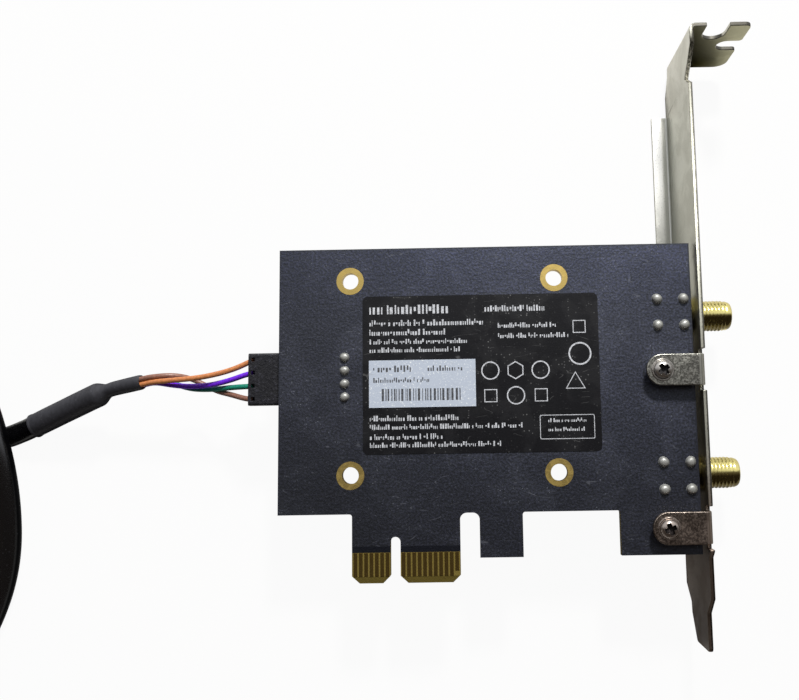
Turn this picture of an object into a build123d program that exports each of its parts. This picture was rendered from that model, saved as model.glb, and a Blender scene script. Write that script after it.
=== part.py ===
from build123d import *
import os
from math import pi, radians, tan

# Expansion-slot wireless card with its header cable, lying flat with the solder face up.
# +X points out through the bracket, +Y towards the bracket's top lip, +Z out of the solder face.
# Card places are measured from the centre of the contact key, the contact edge and the solder face.

# Circuit board
board_thickness = 1.57
board_left = 22.17
board_right = 57.31
board_top = 63.5
board_bottom = 12.75
foot_bottom = 4.46
leg_left = 15.85
leg_right = 23.94
foot_left = 42.23
tongue_left = 8.15
tongue_right = 12.15
tongue_corner = 1.4
bevel_length = 1.3
bevel_depth = 0.45
key_width = 1.9
key_depth = 8.5
inner_radius = 0.5
slot_radius = 1.3

# Plated contacts of the tongue
contact_pitch = 1.0
contact_width = 0.7
contact_length = 4.3
contact_short = 0.9
contact_rise = 0.04
key_gap = 3.0
contacts_right = 11
contacts_left = 7

# Plated mounting holes
hole_x = 11.29
hole_y = 38.57
hole_spacing_x = 39.46
hole_radius = 1.6
plating = 0.12
ring_radius = 2.65

# Bracket: a folded sheet with a top lip, a lower tongue, two tabs and a stiffening flange
sheet = 0.86
bend_radius = 0.5
bracket_gap = 0.72
bracket_width = 18.42
near_overhang = 2.54
bracket_top = 105.9
bracket_length = 119.6
lip_depth = 11.43
lip_shift = 2.5
lip_far_corner = 2.6
lip_near_corner = 1.3
mouth_corner = 0.8
lip_notch_width = 4.42
lip_notch_depth = 5.6
lip_notch_out = 4.9
end_notch_width = 3.8
end_notch_depth = 4.6
end_notch_down = 8.4
shift_bottom = 96.6
shift_notch = 2.6
shift_step = 1.6
skirt_top = 5.2
skirt_step = 1.2
skirt_bottom = -3.5
tongue_shoulder = -6.6
tongue_near = 4.1
tongue_far = 3.2
tongue_taper_length = 5.0
tongue_taper_width = 3.0
tongue_tip_radius = 0.8

# Bracket tabs, their drawn collars and their screws
tab_y = (38.85, 9.55)
tab_width = 6.0
tab_screw_x = 50.7
tab_relief = 0.9
tab_relief_depth = 2.1
collar_radius = 2.15
screw_radius = 1.25
screw_clearance = 0.12
screw_head_radius = 2.15
screw_head_height = 1.35
recess_width = 0.55
recess_length = 2.1
recess_depth = 0.7
nut_across_flats = 5.0
nut_height = 2.0
screw_past_nut = 0.6

# Stiffening flange of the bracket's far edge
flange_top = 94.5
flange_bottom = 24.0
flange_reach = 3.3

# Antenna jacks
jack_y = (50.12, 19.02)
jack_axis_drop = 7.5
jack_block = 7.0
jack_shoulder_radius = 3.6
jack_shoulder_length = 1.24
jack_neck_radius = 3.0
jack_relief = 0.3
jack_thread_radius = 3.175
jack_reach = 7.8
jack_tip_chamfer = 1.1
jack_bore_radius = 2.1
jack_recess = 1.9
jack_pin_radius = 0.46
jack_pin_setback = 0.7
jack_pin_depth = 3.0
jack_hole_clearance = 0.12
jack_leg_spacing = 5.08
jack_leg_width = 1.0
jack_leg_rise = 0.4
leg_hole_radius = 0.8
ferrule_radius = 1.2
ferrule_length = 2.0

# Solder domes
dome_radius = 1.03
dome_height = 0.95
pin_dome_radius = 0.9
pin_dome_height = 0.8

# Pin header and the plug on it
pin_count = 4
pin_pitch = 2.54
pin_width = 0.64
pin_column_x = 9.54
pin_centre_y = 38.6
pin_drop = 1.43
pin_rise = 0.55
pin_hole_radius = 0.5
pin_reach = 6.2
base_length = 2.5
base_height = 2.75
base_to_column = 2.0
plug_length = 14.5
plug_thickness = 2.54
plug_edge_radius = 0.45
cavity_width = 2.0
window_width = 0.7
window_from_end = 0.6
terminal_width = 1.7
terminal_bore = 0.74
terminal_length = 7.0
terminal_setback = 1.0
crimp_radius = 0.72
crimp_length = 3.8

# Labels on the solder face
label_thickness = 0.1
label_left = 6.03
label_bottom = 23.85
label_width = 45.3
label_height = 30.25
label_radius = 1.0
ring_label_gap = 0.845
hole_spacing_y = label_height + 2 * (ring_radius + ring_label_gap)
serial_left = 4.83
serial_bottom = 32.65
serial_width = 20.4
serial_height = 9.03

# Wireless module on the component face
module_left = -1.0
module_y = 38.57
module_length = 30.0
module_width = 22.0
module_thickness = 0.8
module_standoff_height = 2.4
module_edge_width = 19.85
module_edge_length = 3.6
module_notch_radius = 1.75
shield_length = 17.0
shield_width = 19.0
shield_height = 1.5
shield_sheet = 0.2
shield_radius = 0.6
shield_from_edge = 5.2
standoff_radius = 2.6
standoff_neck_radius = 1.6
module_screw_radius = 0.95
module_screw_head_radius = 2.3
module_screw_head_height = 0.9
socket_width = 21.9
socket_length = 7.6
socket_height = 4.0
socket_slot_clearance = 0.04
socket_lead_count = 32
socket_lead_pitch = 0.5
socket_lead_width = 0.22
socket_lead_reach = 1.1
socket_lead_height = 0.3

# Coax leads from the module to the jacks
coax_radius = 0.565
receptacle_from_end = 3.6
receptacle_spacing = 13.0
receptacle_radius = 1.0
receptacle_height = 0.6
receptacle_base = 2.6
receptacle_base_height = 0.3
coax_plug_radius = 1.35
coax_plug_height = 1.5
coax_crimp_length = 1.9
coax_crimp_radius = 0.8

# Supply parts on the component face
supply_clearance = 2.4
regulator_y = 30.5
regulator_size = 3.0
regulator_height = 0.9
inductor_y = 36.0
inductor_size = 4.0
inductor_height = 2.0
inductor_radius = 0.5
capacitor_length = 1.6
capacitor_width = 0.8
capacitor_height = 0.8
capacitor_clearance = 1.0
capacitor_pitch = 2.8
capacitor_row_y = (29.0, 33.0, 37.0)
resistor_length = 1.0
resistor_width = 0.5
resistor_height = 0.35
resistor_row_x = (-3.0, 0.0, 3.0, 6.0, 9.0)
resistor_y = 17.0

# Header cable
wire_radius = 0.525
jacket_radius = 2.2
sleeve_narrow_radius = 1.47
sleeve_wide_radius = 2.45
sleeve_step = 1.6
sleeve_lead_in = 2.4
coil_width = 60.0
coil_length = 80.0
coil_band = 13.2
coil_height = 8.8
coil_edge = 1.8
coil_x = -106.0
coil_y = 11.5
far_sleeve_length = 10.0
far_plug_length = 14.0
far_row_count = 2
far_column_count = 5
far_wire_count = 4

# Places that follow from the sizes
bracket_x = board_right + bracket_gap
bracket_bottom = bracket_top - bracket_length
lip_end = bracket_x + sheet + lip_depth
near_edge = near_overhang
far_edge = near_edge - bracket_width
component_face = -board_thickness
datum_x = (board_left - lip_end) / 2
datum_y = -(bracket_top + bracket_bottom) / 2
datum_z = -far_edge
jack_x = bracket_x - jack_shoulder_length - jack_block / 2
fold = bend_radius + sheet
pin_z = component_face - pin_drop
plug_right = -pin_column_x - base_to_column - base_length
plug_left = plug_right - plug_length
pin_rows = [pin_centre_y + pin_pitch * (pin_count - 1) / 2 - pin_pitch * i for i in range(pin_count)]
wire_start_x = plug_right - terminal_setback - terminal_length - crimp_length
module_top = component_face - module_standoff_height
module_face = module_top - module_thickness
module_right = module_left + module_length
receptacle_x = module_right - receptacle_from_end
supply_x = module_right + standoff_radius + supply_clearance + inductor_size / 2
capacitor_x = supply_x + inductor_size / 2 + capacitor_clearance + capacitor_length / 2
receptacle_rows = (module_y + receptacle_spacing / 2, module_y - receptacle_spacing / 2)

# Cable route, from the plug's wires to the coil and on to the far plug
bundle = {"orange": (-0.33, 0.71), "violet": (0.33, -0.71), "green": (-0.71, -0.33), "brown": (0.71, 0.33)}
sleeve_mouth = (-50.4, 38.65, -5.0)
sleeve_neck = (-57.9, 37.25, -6.5)
sleeve_end = (-75.9, 30.33, -12.9)
lead_straight = 0.12
lead_turn = tuple(e + lead_straight * (e - n) for e, n in zip(sleeve_end, sleeve_neck))
coil_middle = coil_height / 2 - datum_z
lead_points = [sleeve_end, lead_turn, (-82.5, 27.8, jacket_radius - datum_z)]
wire_points = {
    "orange": [(-30.2, 42.3, -3.0), (-37.0, 40.9, -3.2), (-43.6, 39.5, -3.5)],
    "violet": [(-30.2, 39.75, -3.1), (-36.4, 38.3, -4.3), (-43.2, 38.3, -5.7)],
    "green": [(-30.2, 37.25, -3.2), (-36.4, 37.0, -5.6), (-43.2, 36.95, -5.6)],
    "brown": [(-29.6, 34.84, -3.06), (-35.4, 37.2, -6.9), (-41.0, 39.7, -6.6), (-44.8, 40.3, -4.7)],
}
tail_high = far_row_count * pin_pitch / 2 - datum_z
tail_points = [(-113.0, -19.0, coil_middle), (-110.2, -12.6, coil_middle), (-107.6, -6.6, tail_high),
               (-106.2, -0.6, tail_high)]


def level(height):
    """Plane parallel to the board, at a height above its solder face."""
    return Plane((datum_x, datum_y, datum_z + height))


def side(place):
    """Plane across X whose coordinates are card Y and Z, facing +X."""
    return Plane((datum_x + place, datum_y, datum_z), x_dir=(0, 1, 0), z_dir=(1, 0, 0))


def across(place):
    """Plane across Y whose coordinates are card Z and X, facing +Y."""
    return Plane((datum_x, datum_y + place, datum_z), x_dir=(0, 0, 1), z_dir=(0, 1, 0))


def spot(point):
    """A card point in the model's own frame."""
    return Vector(datum_x + point[0], datum_y + point[1], datum_z + point[2])


def finish(piece, name):
    """Label a piece and write it out."""
    piece.label = name
    export_step(piece, f"parts/{name}.step")


def bend_radii(points, share=0.45):
    """Largest even arcs for a route: a share of the shorter run over the tangent of half the turn."""
    radii = []
    for before, here, after in zip(points, points[1:], points[2:]):
        turn = radians((here - before).get_angle(after - here))
        radii.append(share * min((here - before).length, (after - here).length) / tan(turn / 2))
    return radii


def route(name, points):
    """Points and arc radii of a route, with the smallest arc printed."""
    radii = bend_radii(points)
    print(f"{name}: smallest bend radius {min(radii):.1f} mm over {len(radii)} bends")
    return points, radii


# The board: one notched plate with a bevelled contact tongue, a leg and a foot
with BuildPart() as circuit_board:
    with BuildSketch(level(component_face)) as outline:
        with Locations((-board_left, board_bottom)):
            Rectangle(board_left + board_right, board_top - board_bottom, align=(Align.MIN, Align.MIN))
        with Locations((-tongue_left, 0)):
            Rectangle(tongue_left + tongue_right, board_top / 2, align=(Align.MIN, Align.MIN))
        with Locations((leg_left, foot_bottom)):
            Rectangle(leg_right - leg_left, board_top / 2, align=(Align.MIN, Align.MIN))
        with Locations((foot_left, foot_bottom)):
            Rectangle(board_right - foot_left, board_top / 2, align=(Align.MIN, Align.MIN))
        Rectangle(key_width, key_depth - key_width / 2, align=(Align.CENTER, Align.MIN), mode=Mode.SUBTRACT)
        with Locations((0, key_depth - key_width / 2)):
            Circle(key_width / 2, mode=Mode.SUBTRACT)
        chamfer(outline.vertices().group_by(Axis.Y)[0], tongue_corner)
        corners = outline.vertices().filter_by_position(Axis.Y, board_bottom - 0.01, board_bottom + 0.01)
        corners = corners.sort_by(Axis.X)[1:]
        fillet(corners[1:3], slot_radius)
        corners = outline.vertices().filter_by_position(Axis.Y, board_bottom - 0.01, board_bottom + 0.01)
        corners = [v for v in corners.sort_by(Axis.X) if v.X > leg_left + slot_radius + 0.01]
        fillet(corners, inner_radius)
        corners = outline.vertices().filter_by_position(Axis.Y, board_bottom - 0.01, board_bottom + 0.01)
        fillet([v for v in corners if -board_left < v.X < -tongue_left + 0.01], inner_radius)
    extrude(amount=board_thickness)
    with BuildSketch(side(-tongue_left)):
        with BuildLine():
            Polyline((0, 0), (bevel_length, 0), (0, -bevel_depth), close=True)
        make_face()
        with BuildLine():
            Polyline((0, component_face), (bevel_length, component_face),
                     (0, component_face + bevel_depth), close=True)
        make_face()
    extrude(amount=tongue_left + tongue_right, mode=Mode.SUBTRACT)
    with BuildSketch(level(component_face)):
        with Locations((hole_x, hole_y)):
            with GridLocations(hole_spacing_x, hole_spacing_y, 2, 2):
                Circle(hole_radius + plating)
        with Locations(*[(-pin_column_x, y) for y in pin_rows]):
            Circle(pin_hole_radius)
        for y in jack_y:
            with Locations((jack_x, y)):
                with GridLocations(jack_leg_spacing, jack_leg_spacing, 2, 2):
                    Circle(leg_hole_radius)
        with Locations(*[(tab_screw_x, y) for y in tab_y]):
            Circle(screw_radius + screw_clearance)
        with Locations((module_right, module_y)):
            Circle(standoff_neck_radius)
    extrude(amount=board_thickness, mode=Mode.SUBTRACT)
finish(circuit_board.part, "circuit_board")

# Contacts on both faces of the tongue; one on each face is the short presence contact
with BuildPart() as edge_contacts:
    columns = [key_gap / 2 + contact_pitch * i for i in range(contacts_right)]
    columns += [-key_gap / 2 - contact_pitch * i for i in range(contacts_left)]
    for face, rise, short in ((0, contact_rise, contacts_right - 1),
                              (component_face, -contact_rise, contacts_right + contacts_left - 2)):
        with BuildSketch(level(face)):
            for number, x in enumerate(columns):
                cut = contact_short if number == short else 0
                with Locations((x, bevel_length + cut)):
                    Rectangle(contact_width, contact_length - cut, align=(Align.CENTER, Align.MIN))
        extrude(amount=rise)
finish(edge_contacts.part, "edge_contacts")

# Plated barrels with a ring on each face
with BuildPart() as hole_rings:
    for face, rise, outer in ((component_face, board_thickness, hole_radius + plating),
                              (0, contact_rise, ring_radius),
                              (component_face, -contact_rise, ring_radius)):
        with BuildSketch(level(face)):
            with Locations((hole_x, hole_y)):
                with GridLocations(hole_spacing_x, hole_spacing_y, 2, 2):
                    Circle(outer)
                    Circle(hole_radius, mode=Mode.SUBTRACT)
        extrude(amount=rise)
finish(hole_rings.part, "hole_rings")

# The bracket: plate and lip folded from one strip, cut to its side outline, then tabs and flange
with BuildPart() as io_bracket:
    with BuildSketch(level(far_edge)) as strip:
        with BuildLine():
            Polyline((bracket_x, bracket_bottom), (bracket_x, bracket_top), (lip_end, bracket_top),
                     (lip_end, bracket_top - sheet), (bracket_x + sheet, bracket_top - sheet),
                     (bracket_x + sheet, bracket_bottom), close=True)
        make_face()
        inner_bend = strip.vertices().group_by(Axis.Y)[1].sort_by(Axis.X)[0]
        fillet(inner_bend, bend_radius)
        fillet(strip.vertices().group_by(Axis.Y)[-1].sort_by(Axis.X)[0], fold)
    extrude(amount=bracket_width + lip_shift)
    shift_top = shift_bottom + lip_shift + shift_notch
    with BuildSketch(side(bracket_x - sheet)) as plate_outline:
        with BuildLine():
            Polyline((bracket_top + sheet, near_edge + lip_shift),
                     (shift_top, near_edge + lip_shift),
                     (shift_bottom, near_edge - shift_notch),
                     (shift_bottom - shift_step, near_edge),
                     (skirt_top, near_edge),
                     (skirt_top - skirt_step, near_edge - skirt_step),
                     (skirt_bottom, near_edge - skirt_step),
                     (tongue_shoulder, near_edge - tongue_near),
                     (bracket_bottom, near_edge - tongue_near),
                     (bracket_bottom, far_edge + tongue_far + tongue_taper_width),
                     (bracket_bottom + tongue_taper_length, far_edge + tongue_far),
                     (tongue_shoulder, far_edge + tongue_far),
                     (skirt_bottom, far_edge),
                     (shift_top - lip_shift, far_edge),
                     (shift_top + lip_shift / 2, far_edge + lip_shift),
                     (bracket_top + sheet, far_edge + lip_shift), close=True)
        make_face()
        fillet(plate_outline.vertices().group_by(Axis.X)[0], tongue_tip_radius)
    extrude(amount=lip_depth + 3 * sheet, mode=Mode.INTERSECT)
    with BuildSketch(across(bracket_top - sheet)):
        notch_x = bracket_x + sheet + lip_notch_out
        with Locations((near_edge + lip_shift, notch_x)):
            Rectangle(2 * (lip_notch_depth - lip_notch_width / 2), lip_notch_width)
        with Locations((near_edge + lip_shift - lip_notch_depth + lip_notch_width / 2, notch_x)):
            Circle(lip_notch_width / 2)
        end_notch_z = near_edge + lip_shift - end_notch_down
        with Locations((end_notch_z, lip_end)):
            Rectangle(end_notch_width, 2 * (end_notch_depth - end_notch_width / 2))
        with Locations((end_notch_z, lip_end - end_notch_depth + end_notch_width / 2)):
            Circle(end_notch_width / 2)
    extrude(amount=sheet, mode=Mode.SUBTRACT)
    fillet(io_bracket.edges().filter_by(Axis.Y).group_by(Axis.X)[-1].sort_by(Axis.Z)[1:3], mouth_corner)
    fillet(io_bracket.edges().filter_by(Axis.Y).group_by(Axis.X)[-1].sort_by(Axis.Z)[0], lip_far_corner)
    fillet(io_bracket.edges().filter_by(Axis.Y).group_by(Axis.X)[-1].sort_by(Axis.Z)[-1], lip_near_corner)
    for y in tab_y:
        # room for the fold and the relief beside it
        with BuildSketch(side(bracket_x - sheet)):
            with Locations((y, near_edge - fold)):
                Rectangle(tab_width, bracket_width, align=(Align.CENTER, Align.MIN))
            for end in (-1, 1):
                with Locations((y + end * (tab_width + tab_relief) / 2, near_edge - tab_relief_depth)):
                    Rectangle(tab_relief, bracket_width, align=(Align.CENTER, Align.MIN))
        extrude(amount=3 * sheet, mode=Mode.SUBTRACT)
        with BuildSketch(across(y - tab_width / 2)):
            with Locations((near_edge - fold, bracket_x - bend_radius)):
                Circle(fold)
                Circle(bend_radius, mode=Mode.SUBTRACT)
                Rectangle(fold, fold, align=(Align.MIN, Align.MIN), mode=Mode.INTERSECT)
        extrude(amount=tab_width)
        with BuildSketch(level(near_edge - sheet)):
            with Locations((tab_screw_x, y)):
                Circle(tab_width / 2)
                Rectangle(bracket_x - bend_radius - tab_screw_x, tab_width, align=(Align.MIN, Align.CENTER))
        extrude(amount=sheet)
        # drawn collar that stands the tab on the board
        with BuildSketch(level(0)):
            with Locations((tab_screw_x, y)):
                Circle(collar_radius)
        extrude(amount=near_edge - sheet)
        with BuildSketch(level(0)):
            with Locations((tab_screw_x, y)):
                Circle(screw_radius + screw_clearance)
        extrude(amount=near_edge, mode=Mode.SUBTRACT)
    with BuildSketch(side(bracket_x - sheet)):
        with Locations((flange_bottom, far_edge)):
            Rectangle(flange_top - flange_bottom, fold, align=(Align.MIN, Align.MIN))
    extrude(amount=3 * sheet, mode=Mode.SUBTRACT)
    with BuildSketch(across(flange_bottom)):
        with Locations((far_edge + fold, bracket_x - bend_radius)):
            Circle(fold)
            Circle(bend_radius, mode=Mode.SUBTRACT)
            Rectangle(fold, fold, align=(Align.MAX, Align.MIN), mode=Mode.INTERSECT)
        with Locations((far_edge, bracket_x - bend_radius)):
            Rectangle(sheet, flange_reach - bend_radius, align=(Align.MIN, Align.MAX))
    extrude(amount=flange_top - flange_bottom)
    with BuildSketch(side(bracket_x - sheet)):
        with Locations(*[(y, -jack_axis_drop) for y in jack_y]):
            Circle(jack_thread_radius + jack_hole_clearance)
    extrude(amount=3 * sheet, mode=Mode.SUBTRACT)
finish(io_bracket.part, "io_bracket")

# Pan-head screws with a cross recess, and their nuts under the board
nut_face = component_face - nut_height
head_top = near_edge + screw_head_height
with BuildPart() as bracket_screws:
    for y in tab_y:
        with BuildSketch(across(y)):
            with BuildLine():
                Polyline((nut_face - screw_past_nut, tab_screw_x), (head_top, tab_screw_x),
                         (head_top, tab_screw_x + 0.45 * screw_head_radius),
                         (near_edge + 0.75 * screw_head_height, tab_screw_x + 0.85 * screw_head_radius),
                         (near_edge + 0.3 * screw_head_height, tab_screw_x + screw_head_radius),
                         (near_edge, tab_screw_x + screw_head_radius),
                         (near_edge, tab_screw_x + screw_radius),
                         (nut_face - screw_past_nut, tab_screw_x + screw_radius), close=True)
            make_face()
        revolve(axis=Axis(spot((tab_screw_x, y, 0)), (0, 0, 1)))
        with BuildSketch(level(head_top)):
            with Locations((tab_screw_x, y)):
                Rectangle(recess_length, recess_width, rotation=35)
                Rectangle(recess_width, recess_length, rotation=35)
        extrude(amount=-recess_depth, mode=Mode.SUBTRACT)
finish(bracket_screws.part, "bracket_screws")

with BuildPart() as bracket_nuts:
    with BuildSketch(level(nut_face)):
        with Locations(*[(tab_screw_x, y) for y in tab_y]):
            RegularPolygon(nut_across_flats / 2, 6, major_radius=False)
            Circle(screw_radius, mode=Mode.SUBTRACT)
    extrude(amount=nut_height)
finish(bracket_nuts.part, "bracket_nuts")


def jack_profile(start, end, outer):
    """Half section of a round piece on the jack's axis, between two card X places."""
    return [(start, 0), (start, outer), (end, outer), (end, 0)]


# Antenna jacks: block on four legs, shoulder against the bracket, barrel out through it
block_back = jack_x - jack_block / 2
block_front = jack_x + jack_block / 2
jack_tip = bracket_x + sheet + jack_reach
thread_start = bracket_x + sheet + jack_relief
pin_back = block_front - jack_pin_depth
for jack, y in zip(("upper", "lower"), jack_y):
    axis = Axis(spot((0, y, -jack_axis_drop)), (1, 0, 0))
    section = Plane(spot((0, y, -jack_axis_drop)), x_dir=(1, 0, 0), z_dir=(0, -1, 0))
    with BuildPart() as jack_body:
        with BuildSketch(level(component_face)):
            with Locations((jack_x, y)):
                Rectangle(jack_block, jack_block)
        extrude(amount=component_face + jack_axis_drop, dir=(0, 0, -1))
        with BuildSketch(level(-jack_axis_drop)):
            with Locations((jack_x, y)):
                Rectangle(jack_block, jack_block)
        extrude(amount=-jack_block / 2)
        with BuildSketch(section):
            with BuildLine():
                Polyline((block_back - ferrule_length, 0), (block_back - ferrule_length, ferrule_radius),
                         (block_back, ferrule_radius), (block_front - sheet, ferrule_radius),
                         (block_front - sheet, jack_shoulder_radius), (bracket_x, jack_shoulder_radius),
                         (bracket_x, jack_neck_radius), (thread_start, jack_neck_radius),
                         (thread_start, jack_thread_radius),
                         (jack_tip - jack_tip_chamfer, jack_thread_radius),
                         (jack_tip, jack_thread_radius - jack_tip_chamfer / 2), (jack_tip, 0), close=True)
            make_face()
        revolve(axis=axis)
        with BuildSketch(section):
            with BuildLine():
                Polyline(*jack_profile(pin_back, jack_tip, jack_bore_radius), close=True)
            make_face()
        revolve(axis=axis, mode=Mode.SUBTRACT)
        with BuildSketch(level(component_face)):
            with Locations((jack_x, y)):
                with GridLocations(jack_leg_spacing, jack_leg_spacing, 2, 2):
                    Rectangle(jack_leg_width, jack_leg_width)
        extrude(amount=board_thickness + jack_leg_rise)
    finish(jack_body.part, f"{jack}_jack_body")
    with BuildPart() as jack_insulator:
        with BuildSketch(section):
            with BuildLine():
                Polyline(*jack_profile(pin_back, jack_tip - jack_recess, jack_bore_radius), close=True)
            make_face()
        revolve(axis=axis)
        with BuildSketch(section):
            with BuildLine():
                Polyline(*jack_profile(pin_back, jack_tip, jack_pin_radius), close=True)
            make_face()
        revolve(axis=axis, mode=Mode.SUBTRACT)
    finish(jack_insulator.part, f"{jack}_jack_insulator")
    with BuildPart() as jack_pin:
        with BuildSketch(section):
            with BuildLine():
                Polyline((pin_back, 0), (pin_back, jack_pin_radius),
                         (jack_tip - jack_pin_setback - jack_pin_radius, jack_pin_radius),
                         (jack_tip - jack_pin_setback, jack_pin_radius / 3),
                         (jack_tip - jack_pin_setback, 0), close=True)
            make_face()
        revolve(axis=axis)
    finish(jack_pin.part, f"{jack}_jack_pin")


# Solder domes of the jack legs and header pins, hollow where the leg or pin stands in them
half_leg = jack_leg_spacing / 2
joints = [((jack_x + step_x, y + step_y), dome_radius, dome_height, jack_leg_width, jack_leg_rise)
          for y in jack_y for step_x in (-half_leg, half_leg) for step_y in (-half_leg, half_leg)]
joints += [((-pin_column_x, y), pin_dome_radius, pin_dome_height, pin_width, pin_rise) for y in pin_rows]
with BuildPart() as solder_joints:
    for (x, y), radius, height, core, core_rise in joints:
        with BuildSketch(across(y)):
            with BuildLine():
                Polyline((0, x), (height, x), (0.94 * height, x + 0.42 * radius),
                         (0.6 * height, x + 0.82 * radius), (0, x + radius), close=True)
            make_face()
        revolve(axis=Axis(spot((x, y, 0)), (0, 0, 1)))
        with BuildSketch(level(0)):
            with Locations((x, y)):
                Rectangle(core, core)
        extrude(amount=core_rise, mode=Mode.SUBTRACT)
finish(solder_joints.part, "solder_joints")

# Right-angle pin header: a plastic base and four bent pins soldered through the board
base_right = -pin_column_x - base_to_column
with BuildPart() as header_base:
    with BuildSketch(level(component_face - base_height)):
        with Locations((base_right, pin_centre_y)):
            Rectangle(base_length, pin_count * pin_pitch, align=(Align.MAX, Align.CENTER))
    extrude(amount=base_height)
    chamfer(header_base.edges().filter_by(Axis.X).group_by(Axis.Z)[0], 0.3)
    with BuildSketch(side(base_right - base_length)):
        with Locations(*[(y, pin_z) for y in pin_rows]):
            Rectangle(pin_width, pin_width)
    extrude(amount=base_length, mode=Mode.SUBTRACT)
finish(header_base.part, "header_base")

with BuildPart() as header_pins:
    for y in pin_rows:
        with BuildSketch(side(base_right - base_length - pin_reach)):
            with Locations((y, pin_z)):
                Rectangle(pin_width, pin_width)
        extrude(amount=pin_reach + base_length + base_to_column + pin_width / 2)
        with BuildSketch(level(pin_z)):
            with Locations((-pin_column_x, y)):
                Rectangle(pin_width, pin_width)
        extrude(amount=pin_rise - pin_z)
finish(header_pins.part, "header_pins")

# Plug on the header: a moulded housing with a cavity and a latch window for each terminal
with BuildPart() as plug_housing:
    with BuildSketch(side(plug_left)):
        with Locations((pin_centre_y, pin_z)):
            RectangleRounded(pin_count * pin_pitch, plug_thickness, plug_edge_radius)
    extrude(amount=plug_length)
    with BuildSketch(side(plug_left)):
        with Locations(*[(y, pin_z) for y in pin_rows]):
            Rectangle(cavity_width, cavity_width)
    extrude(amount=plug_length, mode=Mode.SUBTRACT)
    with BuildSketch(level(pin_z)):
        with Locations(*[(plug_left + window_from_end, y) for y in pin_rows]):
            Rectangle(window_width, window_width, align=(Align.MIN, Align.CENTER))
    extrude(amount=plug_thickness, mode=Mode.SUBTRACT)
finish(plug_housing.part, "plug_housing")

with BuildPart() as plug_terminals:
    terminal_end = plug_right - terminal_setback - terminal_length
    with BuildSketch(side(terminal_end)):
        with Locations(*[(y, pin_z) for y in pin_rows]):
            Rectangle(terminal_width, terminal_width)
            Rectangle(terminal_bore, terminal_bore, mode=Mode.SUBTRACT)
    extrude(amount=terminal_length)
    with BuildSketch(side(terminal_end)):
        with Locations(*[(y, pin_z) for y in pin_rows]):
            Circle(crimp_radius)
    extrude(amount=-crimp_length)
finish(plug_terminals.part, "plug_terminals")

# Stickers on the solder face
with BuildPart() as product_label:
    with BuildSketch(level(0)):
        with Locations((-label_left + label_width / 2, label_bottom + label_height / 2)):
            RectangleRounded(label_width, label_height, label_radius)
    extrude(amount=label_thickness)
finish(product_label.part, "product_label")

with BuildPart() as serial_label:
    with BuildSketch(level(label_thickness)):
        with Locations((-serial_left + serial_width / 2, serial_bottom + serial_height / 2)):
            Rectangle(serial_width, serial_height)
    extrude(amount=label_thickness)
finish(serial_label.part, "serial_label")

# Module socket with its slot, leads, and the module that lies in it on a standoff
with BuildPart() as module_socket:
    with BuildSketch(level(component_face - socket_height)):
        with Locations((module_left + module_edge_length, module_y)):
            Rectangle(socket_length, socket_width, align=(Align.MAX, Align.CENTER))
    extrude(amount=socket_height)
    slot_height = module_thickness + 2 * socket_slot_clearance
    slot_width = module_edge_width + 2 * socket_slot_clearance
    with BuildSketch(level(module_face - socket_slot_clearance)):
        with Locations((module_left - socket_slot_clearance, module_y)):
            Rectangle(module_length, slot_width, align=(Align.MIN, Align.CENTER))
    extrude(amount=slot_height, mode=Mode.SUBTRACT)
finish(module_socket.part, "module_socket")

with BuildPart() as socket_leads:
    socket_back = module_left + module_edge_length - socket_length
    with BuildSketch(level(component_face)):
        with Locations((socket_back - socket_lead_reach / 2, module_y)):
            with GridLocations(1, socket_lead_pitch, 1, socket_lead_count):
                Rectangle(socket_lead_reach, socket_lead_width)
    extrude(amount=-socket_lead_height)
finish(socket_leads.part, "socket_leads")

with BuildPart() as module_board:
    with BuildSketch(level(module_face)):
        with Locations((module_right, module_y)):
            Rectangle(module_length - module_edge_length, module_width, align=(Align.MAX, Align.CENTER))
        with Locations((module_left, module_y)):
            Rectangle(module_length, module_edge_width, align=(Align.MIN, Align.CENTER))
        with Locations((module_right, module_y)):
            Circle(module_notch_radius, mode=Mode.SUBTRACT)
    extrude(amount=module_thickness)
finish(module_board.part, "module_board")

with BuildPart() as module_shield:
    shield_left = module_left + shield_from_edge
    with BuildSketch(level(module_face)):
        with Locations((shield_left + shield_length / 2, module_y)):
            RectangleRounded(shield_length, shield_width, shield_radius)
    extrude(amount=-shield_height)
    with BuildSketch(level(module_face)):
        with Locations((shield_left + shield_length / 2, module_y)):
            RectangleRounded(shield_length - 2 * shield_sheet, shield_width - 2 * shield_sheet,
                             shield_radius - shield_sheet)
    extrude(amount=shield_sheet - shield_height, mode=Mode.SUBTRACT)
finish(module_shield.part, "module_shield")

with BuildPart() as module_standoff:
    with BuildSketch(level(component_face)):
        with Locations((module_right, module_y)):
            Circle(standoff_radius)
            Circle(module_screw_radius, mode=Mode.SUBTRACT)
    extrude(amount=-module_standoff_height)
    with BuildSketch(level(component_face)):
        with Locations((module_right, module_y)):
            Circle(standoff_neck_radius)
            Circle(module_screw_radius, mode=Mode.SUBTRACT)
    extrude(amount=board_thickness)
finish(module_standoff.part, "module_standoff")

with BuildPart() as module_screw:
    with BuildSketch(level(module_face)):
        with Locations((module_right, module_y)):
            Circle(module_screw_head_radius)
    extrude(amount=-module_screw_head_height)
    with BuildSketch(level(module_face)):
        with Locations((module_right, module_y)):
            Circle(module_screw_radius)
    extrude(amount=module_thickness + module_standoff_height)
    with BuildSketch(level(module_face - module_screw_head_height)):
        with Locations((module_right, module_y)):
            Rectangle(recess_length, recess_width)
            Rectangle(recess_width, recess_length)
    extrude(amount=module_screw_head_height / 2, mode=Mode.SUBTRACT)
finish(module_screw.part, "module_screw")

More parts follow.
